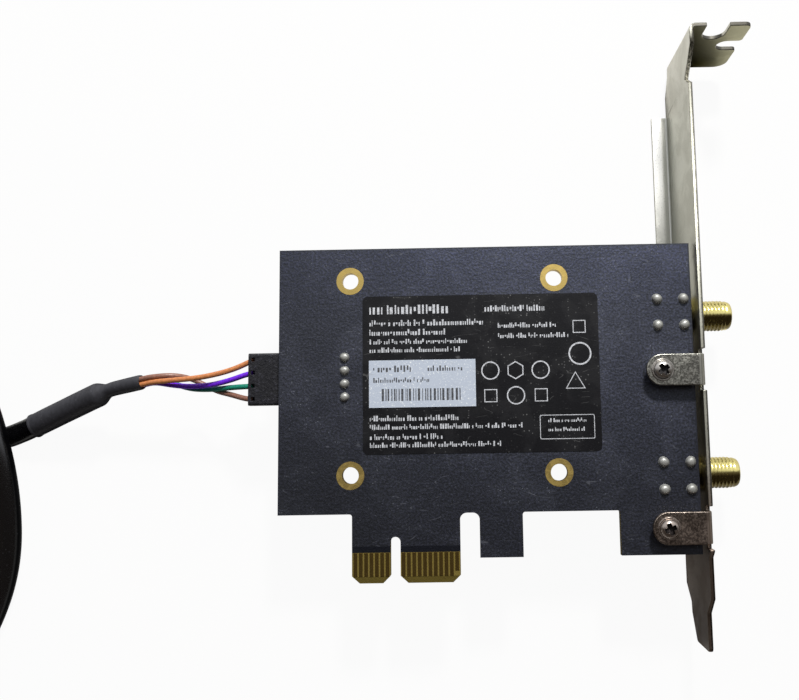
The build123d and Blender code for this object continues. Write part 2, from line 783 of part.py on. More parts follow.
# Snap-on coax receptacles, the plugs on them and the leads to the jacks
with BuildPart() as coax_receptacles:
    with BuildSketch(level(module_face)):
        with Locations(*[(receptacle_x, y) for y in receptacle_rows]):
            Rectangle(receptacle_base, receptacle_base)
    extrude(amount=-receptacle_base_height)
    with BuildSketch(level(module_face - receptacle_base_height)):
        with Locations(*[(receptacle_x, y) for y in receptacle_rows]):
            Circle(receptacle_radius)
    extrude(amount=-receptacle_height)
finish(coax_receptacles.part, "coax_receptacles")

plug_top = module_face - receptacle_base_height
coax_z = plug_top - receptacle_height - coax_crimp_radius / 2
coax_start_x = receptacle_x + coax_plug_radius + coax_crimp_length
with BuildPart() as coax_plugs:
    with BuildSketch(level(plug_top)):
        with Locations(*[(receptacle_x, y) for y in receptacle_rows]):
            Circle(coax_plug_radius)
    extrude(amount=-coax_plug_height)
    with BuildSketch(side(receptacle_x)):
        with Locations(*[(y, coax_z) for y in receptacle_rows]):
            Circle(coax_crimp_radius)
    extrude(amount=coax_plug_radius + coax_crimp_length)
    with BuildSketch(level(plug_top + receptacle_height)):
        with Locations(*[(receptacle_x, y) for y in receptacle_rows]):
            Circle(receptacle_radius)
    extrude(amount=-2 * receptacle_height, mode=Mode.SUBTRACT)
finish(coax_plugs.part, "coax_plugs")

ferrule_end = block_back - ferrule_length
coax_mid = (coax_z - jack_axis_drop) / 2
coax_routes = {
    "upper": [(coax_start_x, receptacle_rows[0], coax_z), (coax_start_x + 4.2, receptacle_rows[0], coax_z),
              (coax_start_x + 9.4, receptacle_rows[0] + 2.1, coax_mid),
              (ferrule_end - 4.2, jack_y[0], -jack_axis_drop), (ferrule_end, jack_y[0], -jack_axis_drop)],
    "lower": [(coax_start_x, receptacle_rows[1], coax_z), (coax_start_x + 3.5, receptacle_rows[1], coax_z),
              (coax_start_x + 7.0, receptacle_rows[1] - 2.0, coax_mid + 0.2),
              (ferrule_end - 7.0, jack_y[1] + 2.0, coax_mid - 0.3),
              (ferrule_end - 3.5, jack_y[1], -jack_axis_drop), (ferrule_end, jack_y[1], -jack_axis_drop)],
}
for jack, points in coax_routes.items():
    with BuildPart() as coax_lead:
        with BuildLine() as coax_path:
            places, radii = route(f"{jack} coax lead", [spot(point) for point in points])
            FilletPolyline(*places, radius=radii)
        with BuildSketch(Plane(coax_path.line @ 0, z_dir=coax_path.line % 0)):
            Circle(coax_radius)
        sweep()
    finish(coax_lead.part, f"{jack}_coax_lead")

# Supply parts
with BuildPart() as regulator_chip:
    with BuildSketch(level(component_face)):
        with Locations((supply_x, regulator_y)):
            Rectangle(regulator_size, regulator_size)
    extrude(amount=-regulator_height)
finish(regulator_chip.part, "regulator_chip")

with BuildPart() as power_inductor:
    with BuildSketch(level(component_face)):
        with Locations((supply_x, inductor_y)):
            RectangleRounded(inductor_size, inductor_size, inductor_radius)
    extrude(amount=-inductor_height)
finish(power_inductor.part, "power_inductor")

with BuildPart() as chip_capacitors:
    with BuildSketch(level(component_face)):
        with Locations(*[(capacitor_x + capacitor_pitch * i, y) for i in range(2) for y in capacitor_row_y]):
            Rectangle(capacitor_length, capacitor_width)
    extrude(amount=-capacitor_height)
finish(chip_capacitors.part, "chip_capacitors")

with BuildPart() as chip_resistors:
    with BuildSketch(level(component_face)):
        with Locations(*[(x, resistor_y) for x in resistor_row_x]):
            Rectangle(resistor_length, resistor_width)
    extrude(amount=-resistor_height)
finish(chip_resistors.part, "chip_resistors")

# Cable: four wires from the plug's terminals into the sleeve
mouth = spot(sleeve_mouth)
neck = spot(sleeve_neck)
end = spot(sleeve_end)
narrow_way = (neck - mouth).normalized()
wide_way = (end - neck).normalized()
mouth_plane = Plane(mouth, x_dir=(narrow_way.Y, -narrow_way.X, 0), z_dir=-narrow_way)
for (colour, points), y in zip(wire_points.items(), pin_rows):
    offset_y, offset_z = bundle[colour]
    last = mouth + mouth_plane.x_dir * offset_y + mouth_plane.y_dir * offset_z
    first = (wire_start_x, y, pin_z)
    with BuildPart() as wire:
        with BuildLine() as wire_path:
            places, radii = route(f"{colour} wire", [spot(point) for point in (first, *points)]
                                  + [last - narrow_way * sleeve_lead_in, last])
            FilletPolyline(*places, radius=radii)
        with BuildSketch(Plane(wire_path.line @ 0, z_dir=wire_path.line % 0)):
            Circle(wire_radius)
        sweep()
    wire_length = wire_path.wires()[0].length
    section_volume = wire_length * pi * wire_radius ** 2
    print(f"  length {wire_length:.1f} mm, volume ratio {wire.part.volume / section_volume:.4f}")
    finish(wire.part, f"wire_{colour}")

# Heat-shrink sleeve: narrow over the wires, a short cone, wide over the jacket
with BuildPart() as heat_shrink_sleeve:
    cone_start = neck - narrow_way * sleeve_step / 2
    cone_end = neck + wide_way * sleeve_step / 2
    with BuildSketch(Plane(mouth, z_dir=narrow_way)):
        Circle(sleeve_narrow_radius)
    extrude(amount=(cone_start - mouth).length)
    with BuildSketch(Plane(cone_start, z_dir=narrow_way)):
        Circle(sleeve_narrow_radius)
    with BuildSketch(Plane(cone_end, z_dir=wide_way)):
        Circle(sleeve_wide_radius)
    loft()
    with BuildSketch(Plane(cone_end, z_dir=wide_way)):
        Circle(sleeve_wide_radius)
    extrude(amount=(end - cone_end).length)
finish(heat_shrink_sleeve.part, "heat_shrink_sleeve")

# Coil: the outer shape of the cable's oval turns, lying on the floor
with BuildPart() as cable_coil:
    with BuildSketch(Plane((datum_x + coil_x, datum_y + coil_y, 0))):
        SlotOverall(coil_length, coil_width, rotation=90)
        SlotOverall(coil_length - 2 * coil_band, coil_width - 2 * coil_band, rotation=90, mode=Mode.SUBTRACT)
    extrude(amount=coil_height)
    chamfer(cable_coil.edges(), coil_edge)
finish(cable_coil.part, "cable_coil")

# Jacketed lead from the sleeve to the coil, and the tail from the coil to the far plug
with BuildPart() as cable_lead:
    with BuildLine() as lead_path:
        places, radii = route("cable lead", [spot(point) for point in lead_points])
        FilletPolyline(*places, radius=radii)
    with BuildSketch(Plane(lead_path.line @ 0, z_dir=lead_path.line % 0)):
        Circle(jacket_radius)
    sweep()
    add(cable_coil.part, mode=Mode.SUBTRACT)
finish(cable_lead.part, "cable_lead")

with BuildPart() as cable_tail:
    with BuildLine() as tail_path:
        places, radii = route("cable tail", [spot(point) for point in tail_points])
        FilletPolyline(*places, radius=radii)
    with BuildSketch(Plane(tail_path.line @ 0, z_dir=tail_path.line % 0)):
        Circle(jacket_radius)
    sweep()
    add(cable_coil.part, mode=Mode.SUBTRACT)
finish(cable_tail.part, "cable_tail")

tail_end = tail_path.line @ 1
tail_way = tail_path.line % 1
with BuildPart() as far_sleeve:
    with BuildSketch(Plane(tail_end, z_dir=tail_way)):
        Circle(sleeve_wide_radius)
    extrude(amount=far_sleeve_length)
finish(far_sleeve.part, "far_sleeve")

# Far plug: a two-row housing with one cavity left closed as the key
far_place = tail_end + tail_way * far_sleeve_length
far_back = Plane(far_place, x_dir=(tail_way.Y, -tail_way.X, 0), z_dir=tail_way)
far_places = [(pin_pitch * (column - (far_column_count - 1) / 2), pin_pitch * (row - (far_row_count - 1) / 2))
              for column in range(far_column_count) for row in range(far_row_count)][1:]
with BuildPart() as far_plug_housing:
    with BuildSketch(far_back):
        Rectangle(far_column_count * pin_pitch, far_row_count * pin_pitch)
    extrude(amount=far_plug_length)
    with BuildSketch(far_back.offset(far_plug_length)):
        with Locations(*far_places):
            Rectangle(cavity_width, cavity_width)
    extrude(amount=crimp_length - far_plug_length, mode=Mode.SUBTRACT)
finish(far_plug_housing.part, "far_plug_housing")

with BuildPart() as far_plug_terminals:
    with BuildSketch(far_back.offset(crimp_length)):
        with Locations(*far_places[1:2 * far_wire_count:2]):
            Rectangle(terminal_width, terminal_width)
            Rectangle(terminal_bore, terminal_bore, mode=Mode.SUBTRACT)
    extrude(amount=terminal_length)
finish(far_plug_terminals.part, "far_plug_terminals")
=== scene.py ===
"""Dresses the solids of an expansion-slot wireless card: cable, turned and soldered pieces, print, finishes, studio."""

import math

import bmesh
import bpy
import numpy as np
from bpy.props import FloatProperty, FloatVectorProperty, IntProperty, PointerProperty
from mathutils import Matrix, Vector


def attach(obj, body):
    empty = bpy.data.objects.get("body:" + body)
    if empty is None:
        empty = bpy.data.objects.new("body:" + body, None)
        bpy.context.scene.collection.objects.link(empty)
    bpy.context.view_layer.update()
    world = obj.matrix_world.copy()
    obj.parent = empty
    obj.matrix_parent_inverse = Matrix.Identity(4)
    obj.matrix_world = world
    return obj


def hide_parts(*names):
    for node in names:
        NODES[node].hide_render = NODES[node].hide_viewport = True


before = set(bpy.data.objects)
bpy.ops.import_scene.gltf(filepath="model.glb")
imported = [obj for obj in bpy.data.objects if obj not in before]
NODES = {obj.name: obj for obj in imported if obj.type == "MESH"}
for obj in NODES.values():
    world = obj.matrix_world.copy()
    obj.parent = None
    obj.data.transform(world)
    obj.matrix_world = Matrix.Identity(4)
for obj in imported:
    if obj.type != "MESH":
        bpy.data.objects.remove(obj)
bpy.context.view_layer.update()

bl_info = {
    "name": "Wireless card dressing",
    "version": (1, 0, 0),
    "blender": (4, 5, 0),
    "location": "View3D > Sidebar > Wireless card",
    "description": "Builds the visible surfaces, finishes and studio of a wireless expansion card",
    "category": "Object",
}

# Card zero in the row frame, in millimetres: the key's centre, the contact edge and the solder face
ZERO = np.array((-24.075, -46.1, 15.88))
# Places in card millimetres
FLOOR = -15.88
JACK_ROWS = {"upper": 50.12, "lower": 19.02}
JACK_X, JACK_Z = 53.29, -7.5
LEG_STEPS = (-2.54, 2.54)
TAB_X, TAB_ROWS = 50.7, (38.85, 9.55)
PIN_X, PIN_ROWS = -9.54, {"orange": 42.41, "violet": 39.87, "green": 37.33, "brown": 34.79}
SLEEVE_MOUTH, SLEEVE_NECK, SLEEVE_END = (-50.4, 38.65, -5.0), (-57.9, 37.25, -6.5), (-75.9, 30.33, -12.9)
FAR_SLEEVE = (-106.2, -0.6, -13.34)


def card(points):
    """Card millimetres as row-frame metres."""
    return (np.asarray(points, float) + ZERO) / 1000.0


def unit(rows):
    """Each row over its own length."""
    return rows / np.linalg.norm(rows, axis=-1, keepdims=True)


def smooth_step(value, low, high):
    """0 below low, 1 above high, and 3t^2 - 2t^3 between."""
    t = np.clip((value - low) / (high - low), 0.0, 1.0)
    return t * t * (3.0 - 2.0 * t)


def placed(name, data):
    """A new object in the scene."""
    item = bpy.data.objects.new(name, data)
    bpy.context.scene.collection.objects.link(item)
    return item


def values_of(items, key, width=1, kind=np.float32):
    """One value of each of a mesh's items, in rows where it has more than one part."""
    values = np.empty(len(items) * width, kind)
    items.foreach_get(key, values)
    return values.reshape(-1, width) if width > 1 else values


class Shell:
    """The grid surfaces of one piece, in card millimetres, each with a material slot."""

    def __init__(self):
        self.points = []
        self.faces = []
        self.slots = []
        self.count = 0

    def grid(self, points, ring=False, caps=(), slot=0):
        """Joins rows and columns of points by quads. A ring joins the last column to the first, and a cap fans an
        end row to its mean point."""
        rows, cols = points.shape[:2]
        i, j = np.meshgrid(np.arange(rows - 1), np.arange(cols if ring else cols - 1), indexing="ij")
        k = (j + 1) % cols
        quads = np.stack([i * cols + j, i * cols + k, (i + 1) * cols + k, (i + 1) * cols + j], -1).reshape(-1, 4)
        faces = (quads + self.count).tolist()
        parts = [points.reshape(-1, 3)]
        for number, row in enumerate(caps):
            rim = self.count + (row % rows) * cols + np.arange(cols)
            middle = np.full(cols, self.count + rows * cols + number)
            pair = (np.roll(rim, -1), rim) if row == 0 else (rim, np.roll(rim, -1))
            faces += np.stack([middle, *pair], -1).tolist()
            parts.append(points[row].mean(0)[None])
        self.faces += faces
        self.slots += [slot] * len(faces)
        self.points += parts
        self.count += sum(len(part) for part in parts)

    def tube(self, path, radius, sides=24, caps=(0, -1), slot=0, slide=0.0, way=None):
        """A circle carried along a path: path + radius (cos a side + sin a up) + slide way, where side is level."""
        way = unit(np.gradient(path, axis=0)) if way is None else way
        side = unit(np.cross((0.0, 0.0, 1.0), way))
        up = np.cross(way, side)
        a = np.linspace(0, 2 * np.pi, sides, endpoint=False)[None, :, None]
        reach = np.broadcast_to(np.asarray(radius, float), (len(path), sides))[:, :, None]
        around = np.cos(a) * side[:, None] + np.sin(a) * up[:, None]
        moved = np.broadcast_to(np.asarray(slide, float), (len(path), sides))[:, :, None] * way[:, None]
        self.grid(path[:, None] + reach * around + moved, ring=True, caps=caps, slot=slot)

    def turned(self, along, radius, origin, axis="z", sides=48, caps=(0, -1), slot=0):
        """A half section turned about an axis: origin + along on the axis + radius (cos a, sin a) across it."""
        a = np.linspace(0, 2 * np.pi, sides, endpoint=False)[None]
        along, radius = np.broadcast_arrays(np.asarray(along, float).reshape(len(along), -1),
                                            np.asarray(radius, float).reshape(len(radius), -1) + 0 * a)
        across = (radius * np.cos(a), radius * np.sin(a))
        order = (along, *across) if axis == "x" else (*across, along)
        self.grid(np.asarray(origin) + np.stack(order, -1), ring=True, caps=caps, slot=slot)

    def loft(self, outline, levels, origin, axes, slot=0):
        """An outline (a, b) carried along a third axis, scaled at each level: levels hold (along, inset)."""
        out = np.sign(outline)
        rows = [np.c_[outline - inset * out, np.full(len(outline), along)] for along, inset in levels]
        self.grid(np.asarray(origin) + np.stack(rows) @ np.asarray(axes, float), ring=True, caps=(0, -1), slot=slot)

    def build(self, name, finishes, angle=38.0, closed=True):
        """Puts the surfaces into one mesh object that rides on the card."""
        mesh = bpy.data.meshes.new(name)
        mesh.from_pydata(card(np.concatenate(self.points)).tolist(), [], self.faces)
        for finish in finishes:
            mesh.materials.append(finish)
        mesh.polygons.foreach_set("material_index", np.asarray(self.slots, np.int32))
        if closed:
            work = bmesh.new()
            work.from_mesh(mesh)
            bmesh.ops.recalc_face_normals(work, faces=work.faces)
            work.to_mesh(mesh)
            work.free()
        mesh.polygons.foreach_set("use_smooth", np.ones(len(mesh.polygons), bool))
        mesh.set_sharp_from_angle(angle=math.radians(angle))
        piece = placed(name, mesh)
        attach(piece, "root")
        return piece


def rounded_outline(width, height, corner, steps=5):
    """Points round a rectangle: each corner's centre plus corner (cos a, sin a) over its quarter turn."""
    a = (np.arange(4)[:, None] + np.linspace(0, 1, steps)) * np.pi / 2
    centre = np.array([(1, 1), (-1, 1), (-1, -1), (1, -1)]) * (width / 2 - corner, height / 2 - corner)
    return (centre[:, None] + corner * np.stack([np.cos(a), np.sin(a)], -1)).reshape(-1, 2)


def route_line(name, points, resolution=12):
    """Points along a smooth line: a NURBS spline of order 3 with the route's points as its control points."""
    curve = bpy.data.curves.new(name, "CURVE")
    curve.dimensions = "3D"
    curve.resolution_u = resolution
    spline = curve.splines.new("NURBS")
    spline.points.add(len(points) - 1)
    spline.points.foreach_set("co", np.c_[np.asarray(points, float), np.ones(len(points))].ravel())
    spline.order_u = 3
    spline.use_endpoint_u = True
    holder = bpy.data.objects.new(name, curve)
    mesh = bpy.data.meshes.new_from_object(holder)
    line = values_of(mesh.vertices, "co", 3).astype(float)
    bpy.data.meshes.remove(mesh)
    bpy.data.objects.remove(holder)
    bpy.data.curves.remove(curve)
    step = np.linalg.norm(np.diff(line, axis=0), axis=1)
    return line[np.r_[True, step > 1e-4]]


def lengths(path):
    """Distance along a path at each of its points."""
    return np.r_[0.0, np.cumsum(np.linalg.norm(np.diff(path, axis=0), axis=1))]


# Shader helpers

def add(tree, kind, values=None, **settings):
    """Adds a node, sets its settings, and links or sets each named input."""
    node = tree.nodes.new(kind)
    for key, value in settings.items():
        setattr(node, key, value)
    for key, value in (values or {}).items():
        if isinstance(value, bpy.types.NodeSocket):
            tree.links.new(value, node.inputs[key])
        else:
            node.inputs[key].default_value = value
    return node


def calc(tree, operation, first, second=0.0):
    """A Math node's result."""
    return add(tree, "ShaderNodeMath", {0: first, 1: second}, operation=operation).outputs[0]


def span(tree, value, low, high, to_low=0.0, to_high=1.0):
    """A value mapped smoothly from one range to another and clamped."""
    node = add(tree, "ShaderNodeMapRange", {"Value": value, "From Min": low, "From Max": high, "To Min": to_low,
                                            "To Max": to_high}, interpolation_type="SMOOTHSTEP")
    return node.outputs[0]


def blend(tree, factor, first, second, mode="MIX"):
    """Two colours mixed by a factor."""
    node = add(tree, "ShaderNodeMix", data_type="RGBA", blend_type=mode)
    for socket, value in ((node.inputs[0], factor), (node.inputs[6], first), (node.inputs[7], second)):
        if isinstance(value, bpy.types.NodeSocket):
            tree.links.new(value, socket)
        elif isinstance(value, (int, float)):
            socket.default_value = value
        else:
            socket.default_value = (*value, 1.0)
    return node.outputs[2]


def noise_of(tree, place, size, **values):
    """A noise texture's value at a place, over a size."""
    scale = calc(tree, "DIVIDE", 1.0, size)
    return add(tree, "ShaderNodeTexNoise", {"Vector": place, "Scale": scale, **values}).outputs[0]


def new_group(name, inputs, outputs):
    """An empty shader node group with named sockets; returns it with its input and output ends."""
    tree = bpy.data.node_groups.new(name, "ShaderNodeTree")
    for label, kind, value in inputs:
        socket = tree.interface.new_socket(label, in_out="INPUT", socket_type=kind)
        if value is not None:
            socket.default_value = value
    for label in outputs:
        tree.interface.new_socket(label, in_out="OUTPUT", socket_type="NodeSocketFloat")
    return tree, tree.nodes.new("NodeGroupInput").outputs, tree.nodes.new("NodeGroupOutput").inputs


def surface_groups():
    """Shared effects: fine grain, loose dust, hair scratches, broad smudges and drawn streaks."""
    place = ("Place", "NodeSocketVector", None)
    size = ("Size", "NodeSocketFloat", 0.3)

    tree, given, put = new_group("fine_grain", [place, size], ["Height", "Fleck"])
    noise = noise_of(tree, given["Place"], given["Size"], Detail=3.0, Roughness=0.6)
    tree.links.new(noise, put["Height"])
    tree.links.new(span(tree, noise, 0.56, 0.72), put["Fleck"])

    tree, given, put = new_group("loose_dust", [place, size, ("Share", "NodeSocketFloat", 0.2)], ["Mask"])
    scale = calc(tree, "DIVIDE", 1.0, given["Size"])
    cells = add(tree, "ShaderNodeTexVoronoi", {"Vector": given["Place"], "Scale": scale})
    pick = add(tree, "ShaderNodeSeparateColor", {0: cells.outputs["Color"]}).outputs
    near = span(tree, cells.outputs["Distance"], 0.34, 0.12)
    kept = calc(tree, "LESS_THAN", pick[0], given["Share"])
    strong = calc(tree, "MULTIPLY", calc(tree, "MULTIPLY", near, kept), pick[1])
    tree.links.new(strong, put["Mask"])

    tree, given, put = new_group("hair_scratches", [place, size, ("Width", "NodeSocketFloat", 0.004)], ["Mask"])
    drawn = add(tree, "ShaderNodeMapping", {"Vector": given["Place"], "Rotation": (0.0, 0.0, 0.9),
                                            "Scale": (0.35, 1.6, 1.0)}).outputs[0]
    line = noise_of(tree, drawn, given["Size"], Detail=1.0)
    off = calc(tree, "ABSOLUTE", calc(tree, "SUBTRACT", line, 0.5))
    thin = calc(tree, "LESS_THAN", off, given["Width"])
    broken = add(tree, "ShaderNodeTexNoise", {"Vector": given["Place"], "Scale": 0.4, "Detail": 2.0}).outputs[0]
    tree.links.new(calc(tree, "MULTIPLY", thin, span(tree, broken, 0.52, 0.62)), put["Mask"])

    tree, given, put = new_group("broad_smudge", [place, size], ["Mask"])
    noise = noise_of(tree, given["Place"], given["Size"], Detail=4.0, Roughness=0.62, Distortion=0.6)
    tree.links.new(span(tree, noise, 0.4, 0.66), put["Mask"])

    tree, given, put = new_group("drawn_streaks", [place, size, ("Stretch", "NodeSocketVector", (1.0, 0.05, 1.0))],
                                 ["Height"])
    drawn = add(tree, "ShaderNodeVectorMath", {0: given["Place"], 1: given["Stretch"]}, operation="MULTIPLY")
    noise = noise_of(tree, drawn.outputs[0], given["Size"], Detail=3.0)
    tree.links.new(noise, put["Height"])


class Finish:
    """A material in the making: its tree, its shader and card millimetres from Object coordinates."""

    def __init__(self, name, **values):
        self.material = bpy.data.materials.new(name)
        self.material.use_nodes = True
        self.tree = self.material.node_tree
        self.shader = self.tree.nodes["Principled BSDF"]
        place = add(self.tree, "ShaderNodeTexCoord").outputs["Object"]
        self.place = add(self.tree, "ShaderNodeMapping", {"Vector": place, "Scale": (1000.0,) * 3,
                                                          "Location": tuple(-ZERO)}).outputs[0]
        for key, value in values.items():
            self.put(key.replace("_", " "), value)

    def put(self, socket, value):
        """Sets or links one socket of the shader."""
        target = self.shader.inputs[socket]
        if isinstance(value, bpy.types.NodeSocket):
            self.tree.links.new(value, target)
        elif isinstance(value, (int, float)):
            target.default_value = value
        else:
            target.default_value = (*value, 1.0)

    def use(self, group, **values):
        """Places a shared effect on the card's own coordinates and returns its outputs."""
        node = self.tree.nodes.new("ShaderNodeGroup")
        node.node_tree = bpy.data.node_groups[group]
        self.tree.links.new(self.place, node.inputs["Place"])
        for key, value in values.items():
            node.inputs[key].default_value = value
        return node.outputs

    def bump(self, *heights):
        """A normal from heights and their depths in millimetres, one after the other."""
        normal = None
        for height, depth in heights:
            values = {"Height": height, "Distance": depth / 1000.0, "Strength": 1.0}
            if normal is not None:
                values["Normal"] = normal
            normal = add(self.tree, "ShaderNodeBump", values).outputs[0]
        self.put("Normal", normal)

    def mix(self, factor, first, second, mode="MIX"):
        """Two colours mixed by a factor."""
        return blend(self.tree, factor, first, second, mode)

    def span(self, value, low, high, to_low=0.0, to_high=1.0):
        """A value mapped smoothly between two ranges."""
        return span(self.tree, value, low, high, to_low, to_high)

    def calc(self, operation, first, second=0.0):
        """A Math node's result."""
        return calc(self.tree, operation, first, second)

    def times(self, first, *others):
        """The product of values."""
        for other in others:
            first = calc(self.tree, "MULTIPLY", first, other)
        return first

    def axes(self):
        """The card coordinates one by one."""
        return add(self.tree, "ShaderNodeSeparateXYZ", {0: self.place}).outputs

    def facing(self):
        """The surface's own normal, one component at a time."""
        return add(self.tree, "ShaderNodeSeparateXYZ",
                   {0: add(self.tree, "ShaderNodeNewGeometry").outputs["Normal"]}).outputs


def dress(finish, *names):
    """Gives CAD nodes a finish in place of the one that they were packed with."""
    for name in names:
        NODES[name].data.materials.clear()
        NODES[name].data.materials.append(finish)


def softened(name, node, finish, width, angle=35.0, square_below=-1.0):
    """A copy of a CAD node with its doubles merged and its flat facets joined, whose sharp edges are rounded by a
    bevel, except those that reach below a height."""
    mesh = NODES[node].data.copy()
    mesh.name = name
    work = bmesh.new()
    work.from_mesh(mesh)
    bmesh.ops.remove_doubles(work, verts=work.verts, dist=2e-6)
    bmesh.ops.dissolve_limit(work, angle_limit=math.radians(0.4), verts=work.verts, edges=work.edges)
    work.to_mesh(mesh)
    work.free()
    mesh.materials.clear()
    mesh.materials.append(finish)
    mesh.polygons.foreach_set("use_smooth", np.ones(len(mesh.polygons), bool))
    mesh.set_sharp_from_angle(angle=math.radians(angle))
    sharp = values_of(mesh.attributes["sharp_edge"].data, "value", kind=bool)
    ends = values_of(mesh.edges, "vertices", 2, np.int32)
    lowest = values_of(mesh.vertices, "co", 3)[ends, 2].min(1)
    weight = mesh.attributes.new("bevel_weight_edge", "FLOAT", "EDGE")
    weight.data.foreach_set("value", (sharp & (lowest > square_below)).astype(np.float32))
    piece = placed(name, mesh)
    edge = piece.modifiers.new("edge", "BEVEL")
    edge.limit_method = "WEIGHT"
    edge.width = width / 1000.0
    edge.segments = 2
    edge.use_clamp_overlap = False
    edge.harden_normals = True
    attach(piece, "root")
    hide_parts(node)
    return piece


def tint(colour, factor):
    """A colour made darker or lighter."""
    return tuple(min(1.0, part * factor) for part in colour)


# Settings

def colour_setting(name, description, default):
    """A colour that the sidebar shows."""
    return FloatVectorProperty(name=name, description=description, subtype="COLOR", size=3, min=0, max=1,
                               default=default)


class StudioSettings(bpy.types.PropertyGroup):
    """The floor, lamps and camera."""
    floor: colour_setting("Floor", "Colour of the floor", (0.72, 0.71, 0.69))
    key_power: FloatProperty(name="Key lamp", description="Power of the lamp beyond the card's top edge",
                             default=2.2, min=0, unit="POWER")
    room: FloatProperty(name="Room", description="Level of the light overhead and behind the viewer", default=0.07,
                        min=0)
    lens: FloatProperty(name="Lens", description="Focal length over a 36 mm sensor", default=36.569, min=1,
                        unit="CAMERA")
    eye: FloatVectorProperty(name="Camera place", description="Where the camera stands", size=3, subtype="TRANSLATION",
                             unit="LENGTH", default=(-0.009158, -0.017387, 0.170901), precision=5)
    turn: FloatVectorProperty(name="Camera turn", description="Turns of the camera about X, Y and Z, Z first", size=3,
                              subtype="EULER", unit="ROTATION", default=(0.1091816, 0.00885446, -0.01753347))


class CableSettings(bpy.types.PropertyGroup):
    """The header cable."""
    jacket_diameter: FloatProperty(name="Jacket diameter", description="Outer diameter of the cable", default=0.0044,
                                   min=0.001, unit="LENGTH", precision=4)
    wire_diameter: FloatProperty(name="Wire diameter", description="Outer diameter of one insulated wire",
                                 default=0.00105, min=0.0003, unit="LENGTH", precision=5)
    turns: IntProperty(name="Turns", description="Whole turns of the coil", default=3, min=1, max=4)
    turn_step: FloatProperty(name="Turn step", description="How much wider each turn of the coil is than the last",
                             default=0.0045, min=0.0044, unit="LENGTH", precision=4)
    jacket: colour_setting("Jacket", "Colour of the jacket", (0.0018, 0.0018, 0.0023))
    sleeve: colour_setting("Sleeve", "Colour of the shrunk sleeves", (0.036, 0.036, 0.043))
    orange: colour_setting("Orange wire", "Insulation colour", (0.62, 0.23, 0.08))
    violet: colour_setting("Violet wire", "Insulation colour", (0.18, 0.02, 0.8))
    green: colour_setting("Green wire", "Insulation colour", (0.008, 0.25, 0.16))
    brown: colour_setting("Brown wire", "Insulation colour", (0.27, 0.125, 0.085))


class BoardSettings(bpy.types.PropertyGroup):
    """The circuit board and what is printed and stuck on it."""
    mask: colour_setting("Solder mask", "Colour of the solder mask", (0.019, 0.0205, 0.0345))
    laminate: colour_setting("Laminate", "Colour of the bare board", (0.2, 0.15, 0.035))
    label: colour_setting("Label film", "Colour of the large label", (0.0062, 0.0062, 0.0078))
    ink: colour_setting("Label print", "Colour of the print on the large label", (0.72, 0.74, 0.78))
    paper: colour_setting("Small label", "Colour of the small label", (0.64, 0.71, 0.83))


class MetalSettings(bpy.types.PropertyGroup):
    """The bracket, jacks, screws and solder."""
    thread_pitch: FloatProperty(name="Thread pitch", description="Pitch of the jacks' thread", default=0.000706,
                                min=0.0003, unit="LENGTH", precision=6)
    thread_depth: FloatProperty(name="Thread depth", description="Depth of the jacks' thread", default=0.00015, min=0,
                                unit="LENGTH", precision=6)
    bracket: colour_setting("Bracket", "Colour of the bracket's plating", (0.66, 0.65, 0.57))
    gold: colour_setting("Gold", "Colour of the gold plating", (0.72, 0.53, 0.17))
    jack: colour_setting("Jacks", "Colour of the jacks' plating", (0.9, 0.78, 0.3))
    solder: colour_setting("Solder", "Colour of the solder", (0.43, 0.43, 0.4))


class CardSettings(bpy.types.PropertyGroup):
    """All settings of the card."""
    studio: PointerProperty(type=StudioSettings)
    cable: PointerProperty(type=CableSettings)
    board: PointerProperty(type=BoardSettings)
    metal: PointerProperty(type=MetalSettings)


# Finishes

def plastic_finish(name, colour, roughness=0.45, grain=0.18, depth=0.006):
    """Moulded plastic: fine grain in height, a little tone and dust."""
    f = Finish(name, IOR=1.48)
    fine = f.use("fine_grain", Size=grain)
    broad = f.use("broad_smudge", Size=5.0)["Mask"]
    dust = f.use("loose_dust", Size=0.5, Share=0.06)["Mask"]
    tone = f.mix(broad, tint(colour, 0.75), tint(colour, 1.1))
    tone = f.mix(f.times(fine["Fleck"], 0.8), tone, tint(colour, 5.0))
    f.put("Base Color", f.mix(f.times(dust, 0.5), tone, tint(colour, 6.0)))
    f.put("Roughness", f.span(fine["Height"], 0.3, 0.7, roughness - 0.08, roughness + 0.1))
    f.bump((fine["Height"], depth))
    return f.material


def metal_finish(name, colour, roughness=0.3, grain=0.2, depth=0.004, stain=0.25, stretch=(1.0, 1.0, 1.0)):
    """Plated metal: fine or drawn grain in height, patches of dulled plating and darker flecks."""
    f = Finish(name, Metallic=1.0)
    drawn = f.use("drawn_streaks", Size=grain, Stretch=stretch)["Height"]
    broad = f.use("broad_smudge", Size=4.0)["Mask"]
    fleck = f.use("fine_grain", Size=grain * 1.6)["Fleck"]
    tone = f.mix(f.times(broad, stain), colour, tint(colour, 0.6))
    f.put("Base Color", f.mix(f.times(fleck, stain), tone, tint(colour, 0.45)))
    f.put("Roughness", f.span(broad, 0.0, 1.0, roughness, roughness + 0.14))
    f.bump((drawn, depth))
    return f.material


